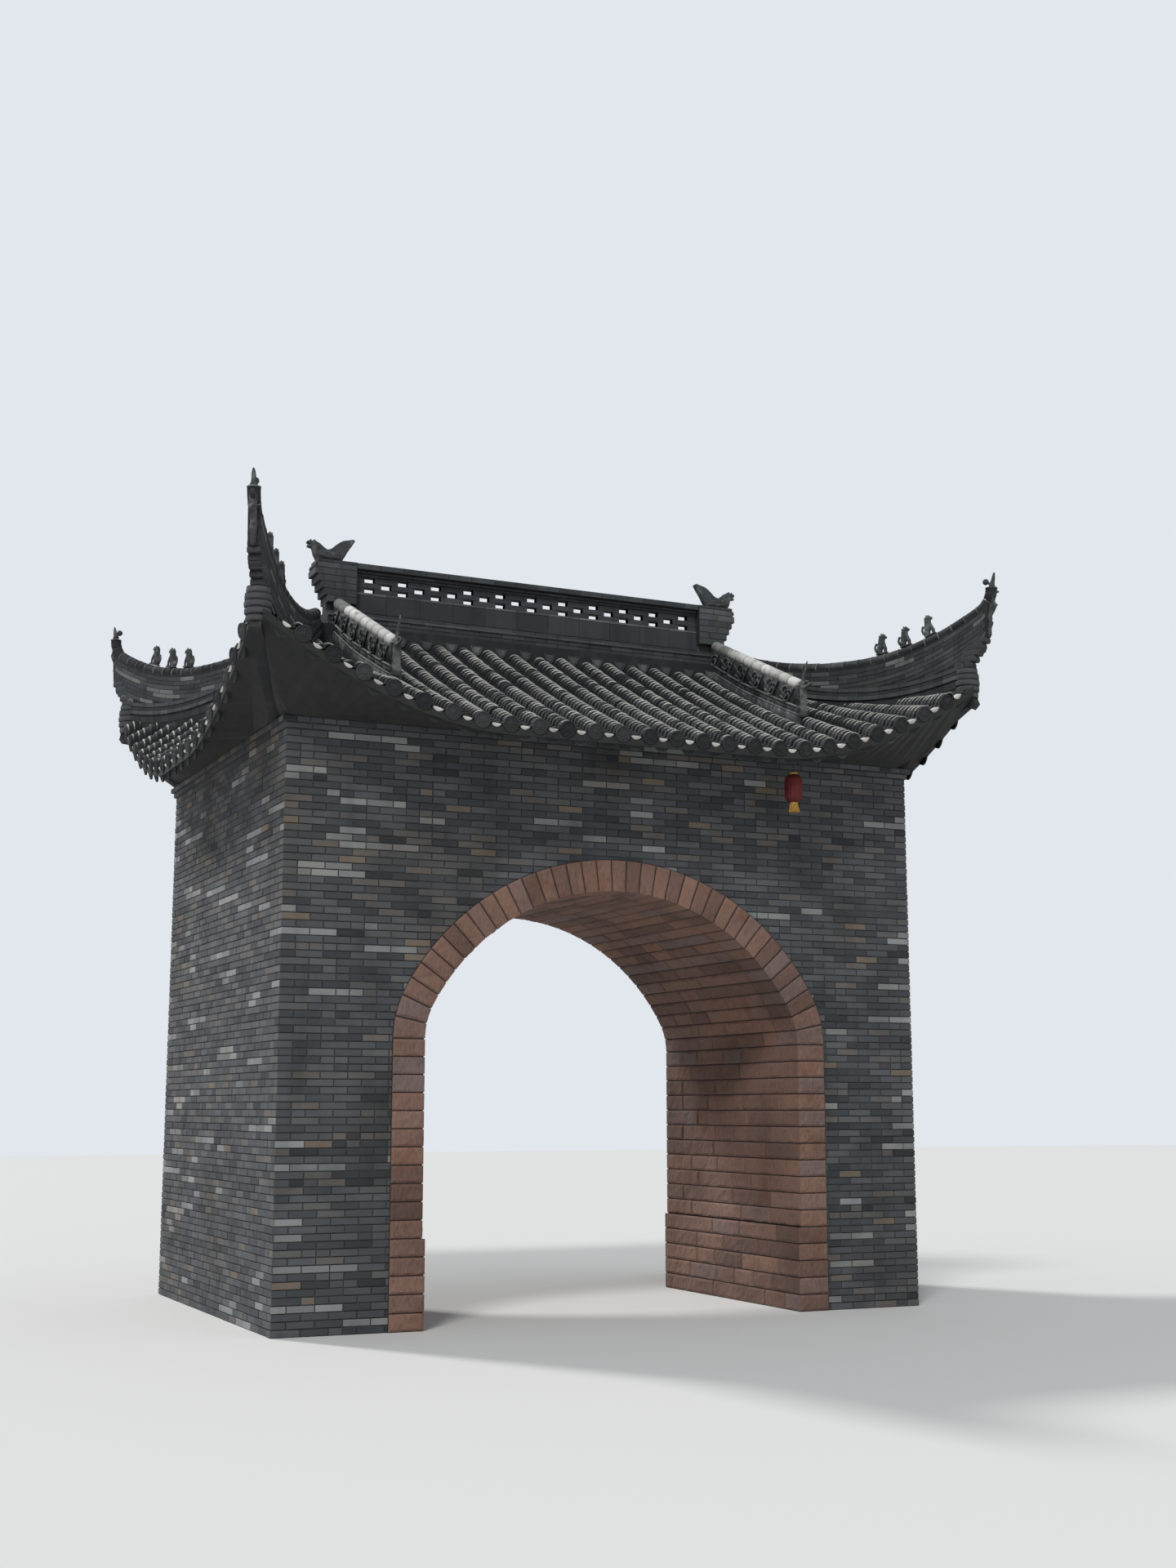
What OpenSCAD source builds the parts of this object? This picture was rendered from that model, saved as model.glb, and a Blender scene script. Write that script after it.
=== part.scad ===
// Roofed brick arch gateway: a thick grey brick block with a stone-lined passage and a hipped
// roof of grey tiles. The front faces -Y, the passage runs along Y, and the ridge runs along X.
// The origin is on the ground, at the middle of the block.

/* [Brick block] */
// Width of the block across the front
wall_w = 6270; // [5600:10:7200]
// Depth of the block, front to back
wall_d = 4160; // [3700:10:5000]
// Height of the brickwork under the cornice
wall_h = 5050; // [5000:10:5600]

/* [Stone passage] */
// Clear width between the jambs
opening_w = 3724; // [3300:2:4000]
// Height of the springing line above the ground
springing_h = 2430; // [2100:10:2600]
// Rise of the arch from springing to crown
arch_rise = 1365; // [1200:5:1450]
// Radius of the small arcs over the springing points
haunch_r = 650; // [400:10:800]
// Depth of the stone lining behind the front face
lined_d = 2680; // [2200:10:2900]
// Thickness of the jamb, vault and ring stones
ring_t = 282; // [220:2:300]
// Length of the face stones of the arch rings, along the passage
ring_d = 360; // [240:10:500]
// How far stone stands proud of the brick face
stone_proud = 15; // [0:1:30]
// Top of the jambs' projecting lower courses
ledge_h = 700; // [450:10:900]
// Projection of those courses into the passage
ledge_out = 25; // [10:1:50]

/* [Rear bay] */
// Clear width of the higher bay behind the lining
bay_w = 5300; // [5240:10:5400]
// Springing height of the rear bay
bay_springing_h = 3200; // [3000:10:3400]
// Rise of the rear bay's arch
bay_rise = 1380; // [1200:5:1450]
// Radius of the small arcs of the rear bay's arch
bay_haunch_r = 800; // [600:10:900]

/* [Cornice] */
// Height of each corbelled course under the eaves
cornice_course_h = 50; // [30:1:70]
// Projection of the lower, shadowed course
cornice_low_out = 25; // [15:5:60]
// Projection of the upper course
cornice_top_out = 50; // [40:5:120]

/* [Roof slopes] */
// Overhang of the front and back eaves from the brick face
eave_front_out = 650; // [500:10:750]
// Overhang of the side eaves from the brick face
eave_side_out = 485; // [350:5:600]
// Level of the pan tiles at the middle of an eave, over the brickwork
eave_up = 40; // [20:5:100]
// Thickness of the roof at the eave's edge
eave_t = 70; // [50:5:90]
// Height of the pan tiles at the ridge over the eave
roof_rise = 1315; // [1200:5:1400]
// Share of the front slope's rise that comes from its hollow curve
front_sag = 0.125; // [0:0.005:0.3]
// Share of the side slope's rise that comes from its hollow curve
side_sag = 0.37; // [0.2:0.01:0.45]
// Height by which each corner sweeps up over the eave
corner_lift = 860; // [700:10:900]
// Length of eave over which a corner sweeps up
lift_run = 2250; // [1800:10:2400]
// Steepness of the sweep: 1 is straight, 2 is a parabola
lift_power = 1.75; // [1.4:0.05:2]
// Distance up the front slope at which the sweep has died out
lift_fade = 2000; // [1700:10:2300]
// Half length of the ridge line between the points where the hips start
hip_start_x = 2250; // [2150:10:2350]

/* [Cover tiles] */
// Distance between two rows of cover tiles
tile_pitch = 268; // [240:1:300]
// Radius of a cover tile
cover_r = 76; // [60:1:90]
// Height of a cover tile's centre over the pan tiles, on its bedding
cover_up = 25; // [0:1:35]

/* [Main ridge] */
// Half thickness of the foot that the slopes run up against
foot_half = 190; // [150:5:220]
// Height of the foot above the pan tiles
foot_up = 105; // [90:5:130]
// Height of the plain band on the foot
plain_band_h = 150; // [120:5:200]
// Half thickness of the plain band
plain_half = 130; // [115:5:145]
// Height of the panel band
panel_band_h = 237; // [200:1:300]
// Half thickness of the panel band
panel_half = 55; // [45:5:110]
// Half length of the ridge's bands, to the foot of the end blocks
band_half_l = 2215; // [2180:5:2245]
// Height of one brick course of the pierced band
lattice_course_h = 55; // [54:1:64]
// Distance between two holes of one course
lattice_pitch = 352; // [330:2:370]
// Width of a hole
lattice_hole_w = 106; // [90:2:130]
// Height of a hole
lattice_hole_h = 53; // [40:1:53]
// Thickness of the pierced band
lattice_t = 62; // [50:2:90]
// Height of the solid courses on the pierced band
top_course_h = 116; // [80:2:130]
// Half thickness of the courses under the coping
top_half = 58; // [50:1:70]
// Projection of the coping over them
coping_out = 48; // [30:1:60]

/* [Ridge ends] */
// Height of the corbelled end block, down from the ridge's top
end_block_h = 430; // [380:5:460]
// Length of an end block at its foot
end_block_l = 299; // [260:1:340]
// Corbelled courses in an end block
end_steps = 5; // [4:1:7]
// Projection of the end block at its widest
end_out = 130; // [90:5:160]
// Thickness of an end block
end_t = 236; // [215:2:260]
// Thickness of the fish finials
finial_t = 120; // [80:5:150]

/* [Vertical ridges] */
// Distance of a vertical ridge from the gate's middle
side_ridge_x = 2105; // [2080:5:2125]
// Distance of its lower end from the ridge line
side_ridge_run = 1890; // [1600:10:2000]
// Height of its cap's axis above the pan tiles, at the lower end
side_ridge_low_h = 409; // [360:1:430]
// Height of its cap's axis above the pan tiles, at the upper end
side_ridge_high_h = 312; // [260:1:340]
// Thickness of the vertical ridges
side_ridge_t = 96; // [80:2:100]
// Projection of the base courses of vertical and hip ridges
base_course_out = 20; // [10:1:30]
// Height of one base course
base_course_h = 42; // [30:1:60]
// Depth of the carved plaque at the lower end
plaque_d = 110; // [80:5:140]

/* [Hip ridges] */
// Thickness of the hip ridges
hip_t = 100; // [80:2:106]
// Radius of the half-round cap tiles on hip and vertical ridges
cap_r = 54; // [50:1:60]
// Length of one cap tile
cap_tile_l = 160; // [120:10:240]
// Joint between two cap tiles
cap_joint = 8; // [4:1:12]
// Level of the cap's axis at its lowest point, over the brickwork
hip_low_up = 1270; // [1200:10:1350]
// Distance of that lowest point along the hip
hip_low_run = 1720; // [1500:10:1850]
// Radius of the cap's curve towards the ridge
hip_in_r = 4200; // [3600:50:5000]
// Radius of the cap's curve towards the corner
hip_out_r = 2900; // [2600:50:3200]
// Distance along the hip at which the cap turns up
hip_turn_run = 3080; // [3000:10:3120]
// Radius of the tight turn below the tip
hip_turn_r = 250; // [200:10:300]
// Height of the thorned outer edge under the tip
thorn_h = 490; // [420:10:520]
// Corbelled courses under the tip
hip_steps = 5; // [4:1:7]
// Drop of the boss's foot below the eave's underside at the corner
boss_drop = 80; // [60:5:100]
// Radius of the rounded boss at a hip's foot
boss_r = 115; // [100:5:120]
// Height of the boss
boss_h = 300; // [240:10:340]
// Thickness of the carved tip
tip_t = 84; // [60:2:100]

/* [Roof beasts] */
// Beasts on one hip
beasts = 3; // [1:1:4]
// Height of a beast
beast_h = 225; // [180:5:260]
// Distance between two beasts along the hip
beast_pitch = 285; // [260:5:320]
// Distance of the inner beast along the hip
beast_first_run = 1985; // [1850:5:2000]
// Thickness of a beast
beast_t = 70; // [50:2:90]

/* [Lantern] */
// Distance of the lantern from the gate's middle
lantern_x = 1620; // [1300:10:1750]
// Distance of the lantern in front of the brick face
lantern_out = 420; // [320:10:480]
// Greatest diameter of the lantern
lantern_w = 165; // [140:5:200]
// Height of the lantern's body
lantern_h = 300; // [250:5:400]
// Length of the fringe under it
tassel_l = 90; // [60:5:140]
// Length of the hook's stem
hook_l = 113; // [90:1:150]
// Height of the wire bail from the body to the hook
bail_h = 117; // [80:1:140]
// Thickness of the hook and of the bail
wire_d = 8; // [6:1:12]

/* [Hidden] */
$fn = 48;

brick_color = "#4b4e52";
stone_color = "#8a6658";
tile_color = "#33363a";
carving_color = "#2c2e30";

// Running clearance between pieces that are bedded against each other
bed_gap = 0.3;
shoulder = 50;
front_y = -wall_d / 2;
cornice_z = wall_h + 2 * cornice_course_h;
cornice_x = wall_w / 2 + cornice_top_out;
cornice_y = wall_d / 2 + cornice_top_out;
eave_z = wall_h + eave_up;
eave_x = wall_w / 2 + eave_side_out;
eave_y = wall_d / 2 + eave_front_out;
ridge_pan_z = eave_z + roof_rise;

// Plan of a hip: from (hip_start_x, 0) to the eave's corner
hip_dx = eave_x - hip_start_x;
hip_l = norm([hip_dx, eave_y]);
hip_angle = atan2(eave_y, hip_dx);
hip_half = hip_t / 2 + bed_gap;
hip_gap_x = hip_half / sin(hip_angle);
hip_gap_y = hip_half / cos(hip_angle);
// The hips butt against the ridge's foot, where their inner edges are this far along
hip_from = (foot_half + bed_gap + hip_half * cos(hip_angle)) / sin(hip_angle) + 30;

// Sweep of an eave at a distance from the corner, and the surface of the pan tiles
function lift_at(run) = corner_lift * pow(max(0, 1 - run / lift_run), lift_power);
function slope_at(part, sag) = roof_rise * ((1 - sag) * part + sag * part * part);
function front_z(x, y) =
    let (up = eave_y - abs(y))
    eave_z + slope_at(up / eave_y, front_sag) + lift_at(eave_x - abs(x)) * max(0, 1 - up / lift_fade);
function side_z(x, y) =
    let (up = eave_x - abs(x))
    eave_z + slope_at(up / hip_dx, side_sag) + lift_at(eave_y - abs(y));
// Underside: level on the cornice, then out to the edge of the eave
function out_part(x, y) =
    max(0, (abs(x) - cornice_x) / (eave_x - cornice_x), (abs(y) - cornice_y) / (eave_y - cornice_y));
function under_z(x, y, top) = cornice_z + out_part(x, y) * (top - eave_t - cornice_z);
function hip_y(x) = eave_y * max(0, abs(x) - hip_start_x) / hip_dx;
function hip_x(y) = hip_start_x + hip_dx * abs(y) / eave_y;
function spread(a, b, n) = [for (i = [0:n]) a + (b - a) * i / n];

// Solid through closed rings of points, each ring clockwise when seen from before the first
module loft(rings) {
    n = len(rings[0]);
    last = len(rings) - 1;
    polyhedron(
        points = [for (ring = rings) each ring],
        faces = concat(
            [[for (i = [0:n - 1]) i]],
            [for (k = [0:last - 1]) for (i = [0:n - 1]) let (j = (i + 1) % n)
                each [[k * n + i, k * n + n + i, k * n + j], [k * n + j, k * n + n + i, k * n + n + j]]],
            [[for (i = [n - 1:-1:0]) last * n + i]]
        )
    );
}

// Three-centred arch over a half width, standing on its springing line
function crown_r(half, rise, small) =
    (half * half + rise * rise - 2 * half * small) / (2 * (rise - small));

module arch_head(half, rise, small, grow = 0) {
    big = crown_r(half, rise, small);
    lean = atan2(half - small, big - rise);
    reach = 3 * big;
    intersection() {
        union() {
            for (side = [-1, 1])
                translate([side * (half - small), 0]) circle(r = small + grow);
            intersection() {
                translate([0, rise - big]) circle(r = big + grow, $fn = 96);
                polygon([
                    [0, rise - big],
                    [-reach * sin(lean), rise - big + reach * cos(lean)],
                    [reach * sin(lean), rise - big + reach * cos(lean)]
                ]);
            }
        }
        translate([-2 * half, 0]) square([4 * half, 2 * rise]);
    }
}

module passage_head(grow = 0) {
    translate([0, springing_h]) arch_head(opening_w / 2, arch_rise, haunch_r, grow);
}

module bay_head(grow = 0) {
    translate([0, bay_springing_h]) arch_head(bay_half, bay_rise, bay_haunch_r, grow);
}

// Extrudes a front view from one depth to another
module along_passage(y0, y1) {
    translate([0, y1, 0]) rotate([90, 0, 0]) linear_extrude(y1 - y0) children();
}

// The block is built in two depths, before and behind the lining's end. In each, a pier stands beside
// the opening and the wall over the arch starts a little outside the ring's springing.
lining_y = front_y + lined_d;
pier_x = opening_w / 2 + ring_t;
bay_half = min(bay_w / 2, wall_w / 2 - ring_t - 2 * shoulder);
bay_pier_x = bay_half + ring_t;
bay_d = wall_d / 2 - lining_y;

module pier() {
    color(brick_color) {
        translate([0, front_y, 0]) {
            translate([pier_x, 0, 0]) cube([wall_w / 2 - pier_x, lined_d - bed_gap, springing_h]);
            translate([pier_x + shoulder, 0, 0])
                cube([wall_w / 2 - pier_x - shoulder, lined_d - bed_gap, wall_h]);
        }
        translate([0, lining_y, 0]) {
            translate([bay_half, 0, 0]) cube([wall_w / 2 - bay_half, bay_d - ring_d, bay_springing_h]);
            translate([bay_pier_x, 0, 0]) cube([wall_w / 2 - bay_pier_x, bay_d, bay_springing_h]);
            translate([bay_pier_x + shoulder, 0, 0])
                cube([wall_w / 2 - bay_pier_x - shoulder, bay_d, wall_h]);
        }
    }
}

module wall_over_arch() {
    color(brick_color)
        difference() {
            translate([-pier_x - shoulder, front_y, springing_h])
                cube([2 * (pier_x + shoulder), lined_d - bed_gap, wall_h - springing_h]);
            along_passage(front_y - 1, lining_y + 1) passage_head(ring_t);
        }
    color(brick_color)
        difference() {
            translate([-bay_pier_x - shoulder, lining_y, bay_springing_h])
                cube([2 * (bay_pier_x + shoulder), bay_d, wall_h - bay_springing_h]);
            along_passage(lining_y - 1, wall_d / 2 + 1) bay_head(ring_t);
        }
}

// Jamb lining with its projecting lower courses
module jamb() {
    color(stone_color)
        translate([0, front_y - stone_proud, 0]) {
            translate([opening_w / 2, 0, 0]) cube([ring_t, lined_d + stone_proud, springing_h]);
            translate([opening_w / 2 - ledge_out, 0, 0]) cube([ledge_out, lined_d + stone_proud, ledge_h]);
        }
}

module passage_vault() {
    color(stone_color)
        along_passage(front_y + ring_d, front_y + lined_d)
            difference() {
                passage_head(ring_t);
                passage_head();
            }
}

module front_arch_ring() {
    color(stone_color)
        along_passage(front_y - stone_proud, front_y + ring_d)
            difference() {
                passage_head(ring_t);
                passage_head();
            }
}

module bay_vault() {
    color(brick_color)
        along_passage(lining_y, wall_d / 2 - ring_d)
            difference() {
                bay_head(ring_t);
                bay_head();
            }
}

// Stone face of the bay: an arch ring on two upright quoins
module rear_surround() {
    color(stone_color) {
        along_passage(wall_d / 2 - ring_d, wall_d / 2 + stone_proud)
            difference() {
                bay_head(ring_t);
                bay_head();
            }
        for (side = [-1, 1])
            translate([side * (bay_half + ring_t / 2) - ring_t / 2, wall_d / 2 - ring_d, 0])
                cube([ring_t, ring_d + stone_proud, bay_springing_h - bed_gap]);
    }
}

module eave_cornice() {
    color(brick_color)
        for (course = [[cornice_low_out, 0], [cornice_top_out, 1]])
            translate([0, 0, wall_h + (course[1] + 0.5) * cornice_course_h])
                cube([wall_w + 2 * course[0], wall_d + 2 * course[0], cornice_course_h], center = true);
}

// Front slope: sections across the roof, with one at each edge of every row of cover tiles
function front_ys(x) =
    let (
        top_y = -max(foot_half + bed_gap, hip_y(x) + hip_gap_y),
        knee_y = -eave_y + min(eave_y - cornice_y, 0.6 * (top_y + eave_y))
    )
    concat([-eave_y], spread(knee_y, top_y, 4));
function front_ring(x) =
    let (ys = front_ys(x), n = len(ys) - 1)
    concat(
        [for (y = ys) [x, y, under_z(x, y, front_z(x, y))]],
        [for (i = [n:-1:0]) [x, ys[i], front_z(x, ys[i])]]
    );
front_end_x = eave_x - hip_gap_x - 20;
front_rows = floor((front_end_x - cover_r) / tile_pitch);

module roof_front() {
    kink_x = hip_start_x + hip_dx * (foot_half + bed_gap - hip_gap_y) / eave_y;
    half = concat(
        [cover_r],
        [for (i = [1:front_rows])
            let (x = i * tile_pitch, kinked = kink_x < x - cover_r && kink_x > x - tile_pitch + cover_r)
            each concat(kinked ? [kink_x] : [], [x - cover_r, x + cover_r])],
        [front_end_x]
    );
    xs = concat([for (i = [len(half) - 1:-1:0]) -half[i]], half);
    color(tile_color) loft([for (x = xs) front_ring(x)]);
}

// The front slope is bored for the lantern's hook
module roof_front_bored() {
    difference() {
        roof_front();
        translate([lantern_x, lantern_y, hook_z]) cylinder(d = wire_d + 2 * bed_gap, h = hook_l);
    }
}

// Side slope: sections from the front corner to the back one
function side_xs(y) =
    let (
        in_x = max(hip_x(y), hip_x(foot_reach_y)) + hip_gap_x,
        knee_x = eave_x - min(eave_x - cornice_x, 0.6 * (eave_x - in_x))
    )
    concat([eave_x], spread(knee_x, in_x, 4));
function side_ring(y) =
    let (xs = side_xs(y), n = len(xs) - 1)
    concat(
        [for (x = xs) [x, y, under_z(x, y, side_z(x, y))]],
        [for (i = [n:-1:0]) [xs[i], y, side_z(xs[i], y)]]
    );
side_end_y = eave_y - hip_gap_y - 60;
side_rows = floor((side_end_y - cover_r) / tile_pitch);

module roof_right() {
    half = concat(
        [for (i = [0:side_rows]) each i == 0
            ? [cover_r]
            : [i * tile_pitch - cover_r, i * tile_pitch + cover_r]],
        [side_end_y]
    );
    ys = concat([for (i = [len(half) - 1:-1:0]) -half[i]], half);
    color(tile_color) loft([for (y = ys) side_ring(y)]);
}

// Section of a cover tile and its bedding over the line from a to b on the pan tiles
function cover_section(a, b) =
    [for (i = [0:4]) let (up = cover_r * sin(45 * i) + (i % 4 == 0 ? 0 : cover_up))
        a + (b - a) * (1 - cos(45 * i)) / 2 + [0, 0, up + bed_gap]];

module front_row(x, sections) {
    left = front_ys(x - cover_r);
    right = front_ys(x + cover_r);
    loft([for (i = [0:sections]) cover_section(
        [x - cover_r, left[i], front_z(x - cover_r, left[i])],
        [x + cover_r, right[i], front_z(x + cover_r, right[i])]
    )]);
}

module side_row(y) {
    near = side_xs(y - cover_r);
    far = side_xs(y + cover_r);
    n = len(near) - 1;
    loft([for (i = [n:-1:0]) cover_section(
        [far[i], y + cover_r, side_z(far[i], y + cover_r)],
        [near[i], y - cover_r, side_z(near[i], y - cover_r)]
    )]);
}

// A row that meets a vertical ridge stops below its plaque
module tile_rows_front() {
    blocked = cover_r + side_ridge_t / 2 + base_course_out;
    color(tile_color)
        for (i = [-front_rows:front_rows])
            front_row(i * tile_pitch, abs(abs(i) * tile_pitch - side_ridge_x) < blocked ? 1 : 5);
}

module tile_rows_right() {
    color(tile_color)
        for (i = [-side_rows:side_rows]) side_row(i * tile_pitch);
}

// Main ridge
foot_top_z = ridge_pan_z + foot_up;
plain_top_z = foot_top_z + plain_band_h;
panel_top_z = plain_top_z + panel_band_h;
lattice_top_z = panel_top_z + 3 * lattice_course_h;
ridge_top_z = lattice_top_z + top_course_h;
end_block_in_x = band_half_l - end_block_l;
// Holes in the upper and in the lower course, one more than in the course between
lattice_holes = 1 + 2 * floor((end_block_in_x - lattice_hole_w) / lattice_pitch);
end_block_z = ridge_top_z - end_block_h;

// The point of the foot's end where a hip's inner corner seats, and its outer corner
hip_dir = [cos(hip_angle), sin(hip_angle)];
hip_side = [sin(hip_angle), -cos(hip_angle)];
foot_in = [hip_start_x, 0] + (hip_from - bed_gap) * hip_dir - hip_t / 2 * hip_side;
foot_out = [hip_start_x, 0] + (hip_from - bed_gap) * hip_dir + hip_t / 2 * hip_side;
foot_reach_y = foot_out[1];
foot_bend_x = hip_start_x + hip_dx * (foot_half - hip_t / 2 / cos(hip_angle)) / eave_y;

module ridge_base() {
    right = [[foot_bend_x, foot_half], foot_in, foot_out];
    quarter = [for (p = right) p];
    outline = concat(
        [for (i = [0:2]) [quarter[i][0], -quarter[i][1]]],
        [for (i = [2:-1:0]) quarter[i]],
        [for (i = [0:2]) [-quarter[i][0], quarter[i][1]]],
        [for (i = [2:-1:0]) [-quarter[i][0], -quarter[i][1]]]
    );
    color(carving_color) {
        translate([0, 0, cornice_z + bed_gap])
            linear_extrude(foot_top_z - cornice_z - bed_gap) polygon(outline);
        translate([-band_half_l, -plain_half, foot_top_z])
            cube([2 * band_half_l, 2 * plain_half, plain_band_h]);
    }
}

module ridge_panel_band() {
    color(carving_color)
        translate([-band_half_l, -panel_half, plain_top_z])
            cube([2 * band_half_l, 2 * panel_half, end_block_z - plain_top_z]);
    color(carving_color)
        translate([-end_block_in_x, -panel_half, end_block_z])
            cube([2 * end_block_in_x, 2 * panel_half, panel_top_z - end_block_z]);
}

// Three courses of bricks with gaps between them, every second course set off by half a pitch
module ridge_pierced_band() {
    color(carving_color)
        difference() {
            translate([-end_block_in_x, -lattice_t / 2, panel_top_z])
                cube([2 * end_block_in_x, lattice_t, 3 * lattice_course_h]);
            for (course = [0:2]) {
                holes = lattice_holes - (course == 1 ? 1 : 0);
                z = panel_top_z + (course + 0.5) * lattice_course_h;
                for (i = [0:holes - 1])
                    translate([(i - (holes - 1) / 2) * lattice_pitch, 0, z])
                        cube([lattice_hole_w, 2 * lattice_t, lattice_hole_h], center = true);
            }
        }
}

module ridge_top_course() {
    thin = top_course_h / 4;
    color(carving_color)
        for (course = [[0, 1, -15], [1, 1, 0], [2, 2, coping_out]])
            translate([-end_block_in_x, -top_half - course[2], lattice_top_z + course[0] * thin])
                cube([2 * end_block_in_x, 2 * (top_half + course[2]), course[1] * thin]);
}

// End block: courses that step out as they rise, a rounded roll and a flat top course
module ridge_end() {
    roll_h = 60;
    cap_h = 30;
    step_h = (end_block_h - roll_h - cap_h) / end_steps;
    color(carving_color) {
        for (i = [0:end_steps - 1])
            translate([end_block_in_x, -end_t / 2, end_block_z + i * step_h])
                cube([band_half_l + end_out * i / (end_steps - 1) - end_block_in_x, end_t, step_h]);
        translate([end_block_in_x, 0, ridge_top_z - cap_h - roll_h]) {
            translate([0, -end_t / 2, 0])
                cube([band_half_l + end_out * 0.75 - end_block_in_x, end_t, roll_h]);
            translate([band_half_l + end_out * 0.75 - end_block_in_x, 0, roll_h / 2])
                rotate([90, 0, 0]) cylinder(d = roll_h, h = end_t, center = true);
        }
        translate([end_block_in_x, -end_t / 2, ridge_top_z - cap_h])
            cube([band_half_l + end_out * 0.8 - end_block_in_x, end_t, cap_h]);
    }
}

// Fish finial: raised head with an open mouth outwards, saddle back, tail flung up inwards
module ridge_finial() {
    foot_x = band_half_l + end_out * 0.8 - 20;
    color(carving_color)
        translate([foot_x, finial_t / 2, ridge_top_z])
            rotate([90, 0, 0])
                linear_extrude(finial_t)
                    polygon([
                        [-225, 0], [0, 0], [45, 55], [62, 88], [92, 100], [100, 118], [60, 152],
                        [92, 158], [84, 190], [52, 205], [24, 190], [12, 152], [-18, 172], [-58, 166],
                        [-92, 130], [-122, 118], [-160, 128], [-205, 185], [-262, 205], [-305, 252],
                        [-375, 262], [-340, 210], [-300, 140], [-265, 112], [-252, 48]
                    ]);
}

// Pan tiles as laid, along a line up the front slope: straight between the slope's sections
function pan_line(x) =
    let (ys = front_ys(x), n = len(ys) - 1)
    [for (i = [n:-1:0]) [-ys[i], front_z(x, ys[i])]];
function laid_z(x, run) = lookup(run, pan_line(x));

// Vertical ridge: bedding course cut to the slope, stepped course, panelled body, half-round cap and plaque
ridge_bed = 3;
bed_half = side_ridge_t / 2 + base_course_out;
function side_pan_z(run) = laid_z(side_ridge_x + bed_half, run) + ridge_bed;

module side_ridge() {
    up_y = foot_half + bed_gap;
    low_z = front_z(side_ridge_x, side_ridge_run) + side_ridge_low_h;
    high_z = front_z(side_ridge_x, up_y) + side_ridge_high_h;
    tilt = atan2(high_z - low_z, side_ridge_run - up_y);
    cap_l = (side_ridge_run - up_y) / cos(tilt);
    runs = concat([for (p = pan_line(side_ridge_x)) if (p[0] < side_ridge_run - 20) p[0]], [side_ridge_run]);
    pan = [for (run = runs) [run, side_pan_z(run)]];
    color(carving_color)
        mirror([0, 1, 0]) {
            loft([for (run = runs) [
                [side_ridge_x - bed_half, run, laid_z(side_ridge_x - bed_half, run) + ridge_bed],
                [side_ridge_x - bed_half, run, side_pan_z(run) + base_course_h],
                [side_ridge_x + bed_half, run, side_pan_z(run) + base_course_h],
                [side_ridge_x + bed_half, run, side_pan_z(run)]
            ]]);
            translate([side_ridge_x, 0, 0]) {
                rotate([90, 0, 90])
                    linear_extrude(side_ridge_t, center = true)
                        polygon(concat(
                            [for (p = pan) p + [0, base_course_h / 2]],
                            [[side_ridge_run, low_z], [up_y, high_z]]
                        ));
                rotate([90, 0, 90])
                    linear_extrude(side_ridge_t + base_course_out, center = true)
                        polygon(concat(
                            [for (p = pan) p + [0, 2 * base_course_h]],
                            [for (i = [len(pan) - 1:-1:0]) pan[i] + [0, 3 * base_course_h]]
                        ));
                intersection() {
                    translate([0, up_y, high_z])
                        rotate([-90 - tilt, 0, 0])
                            translate([0, 0, -cap_r]) cylinder(r = cap_r, h = cap_l + 2 * cap_r);
                    translate([-cap_r, up_y, 0]) cube([2 * cap_r, side_ridge_run - up_y, 2 * ridge_top_z]);
                }
                plaque(low_z);
            }
        }
}

// Upright carved plaque with a curled nose and a pointed crest
module plaque(axis_z) {
    run = side_ridge_run;
    back_z = side_pan_z(run);
    foot_z = side_pan_z(run + plaque_d * 0.9);
    rotate([90, 0, 90])
        linear_extrude(side_ridge_t + 10, center = true)
            polygon([
                [run, back_z], [run + plaque_d * 0.9, foot_z], [run + plaque_d, axis_z - 170],
                [run + plaque_d * 0.8, axis_z - 110], [run + plaque_d * 0.75, axis_z - 60],
                [run + plaque_d * 1.5, axis_z - 20], [run + plaque_d * 1.6, axis_z + 12],
                [run + plaque_d * 0.9, axis_z + 20], [run + plaque_d * 0.85, axis_z + 70],
                [run + plaque_d, axis_z + 120], [run + plaque_d * 1.15, axis_z + 190],
                [run + plaque_d * 0.6, axis_z + 150], [run + plaque_d * 0.3, axis_z + 80],
                [run, axis_z + cap_r]
            ]);
}

// Hip ridge: its own plane runs out along the hip, with the height upwards
low_axis_z = wall_h + hip_low_up;
function hip_axis_z(run) =
    run < hip_low_run
        ? low_axis_z + hip_in_r - sqrt(hip_in_r * hip_in_r - pow(hip_low_run - run, 2))
        : low_axis_z + hip_out_r - sqrt(hip_out_r * hip_out_r - pow(run - hip_low_run, 2));
turn_angle = asin((hip_turn_run - hip_low_run) / hip_out_r);
turn_z = hip_axis_z(hip_turn_run);
turn_centre = [hip_turn_run - hip_turn_r * sin(turn_angle), turn_z + hip_turn_r * cos(turn_angle)];
tip_run = turn_centre[0] + hip_turn_r;
tip_z = turn_centre[1];
thorn_run = tip_run - 50;
boss_run = hip_l - boss_r - 20;
boss_z = front_z(eave_x, eave_y) - eave_t - boss_drop;
step_foot_z = boss_z + boss_h;
step_top_z = tip_z - thorn_h;

function on_turn(radius, angle) = turn_centre + radius * [cos(angle), sin(angle)];

module in_hip_plane(thickness) {
    rotate([90, 0, 0]) linear_extrude(thickness, center = true) children();
}

// Pan tiles along the hip's middle, as the two slopes leave them
function hip_pan_z(run) =
    let (x = hip_start_x + hip_dir[0] * run, y = hip_dir[1] * run)
    max(front_z(x, y), side_z(x, y));

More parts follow.
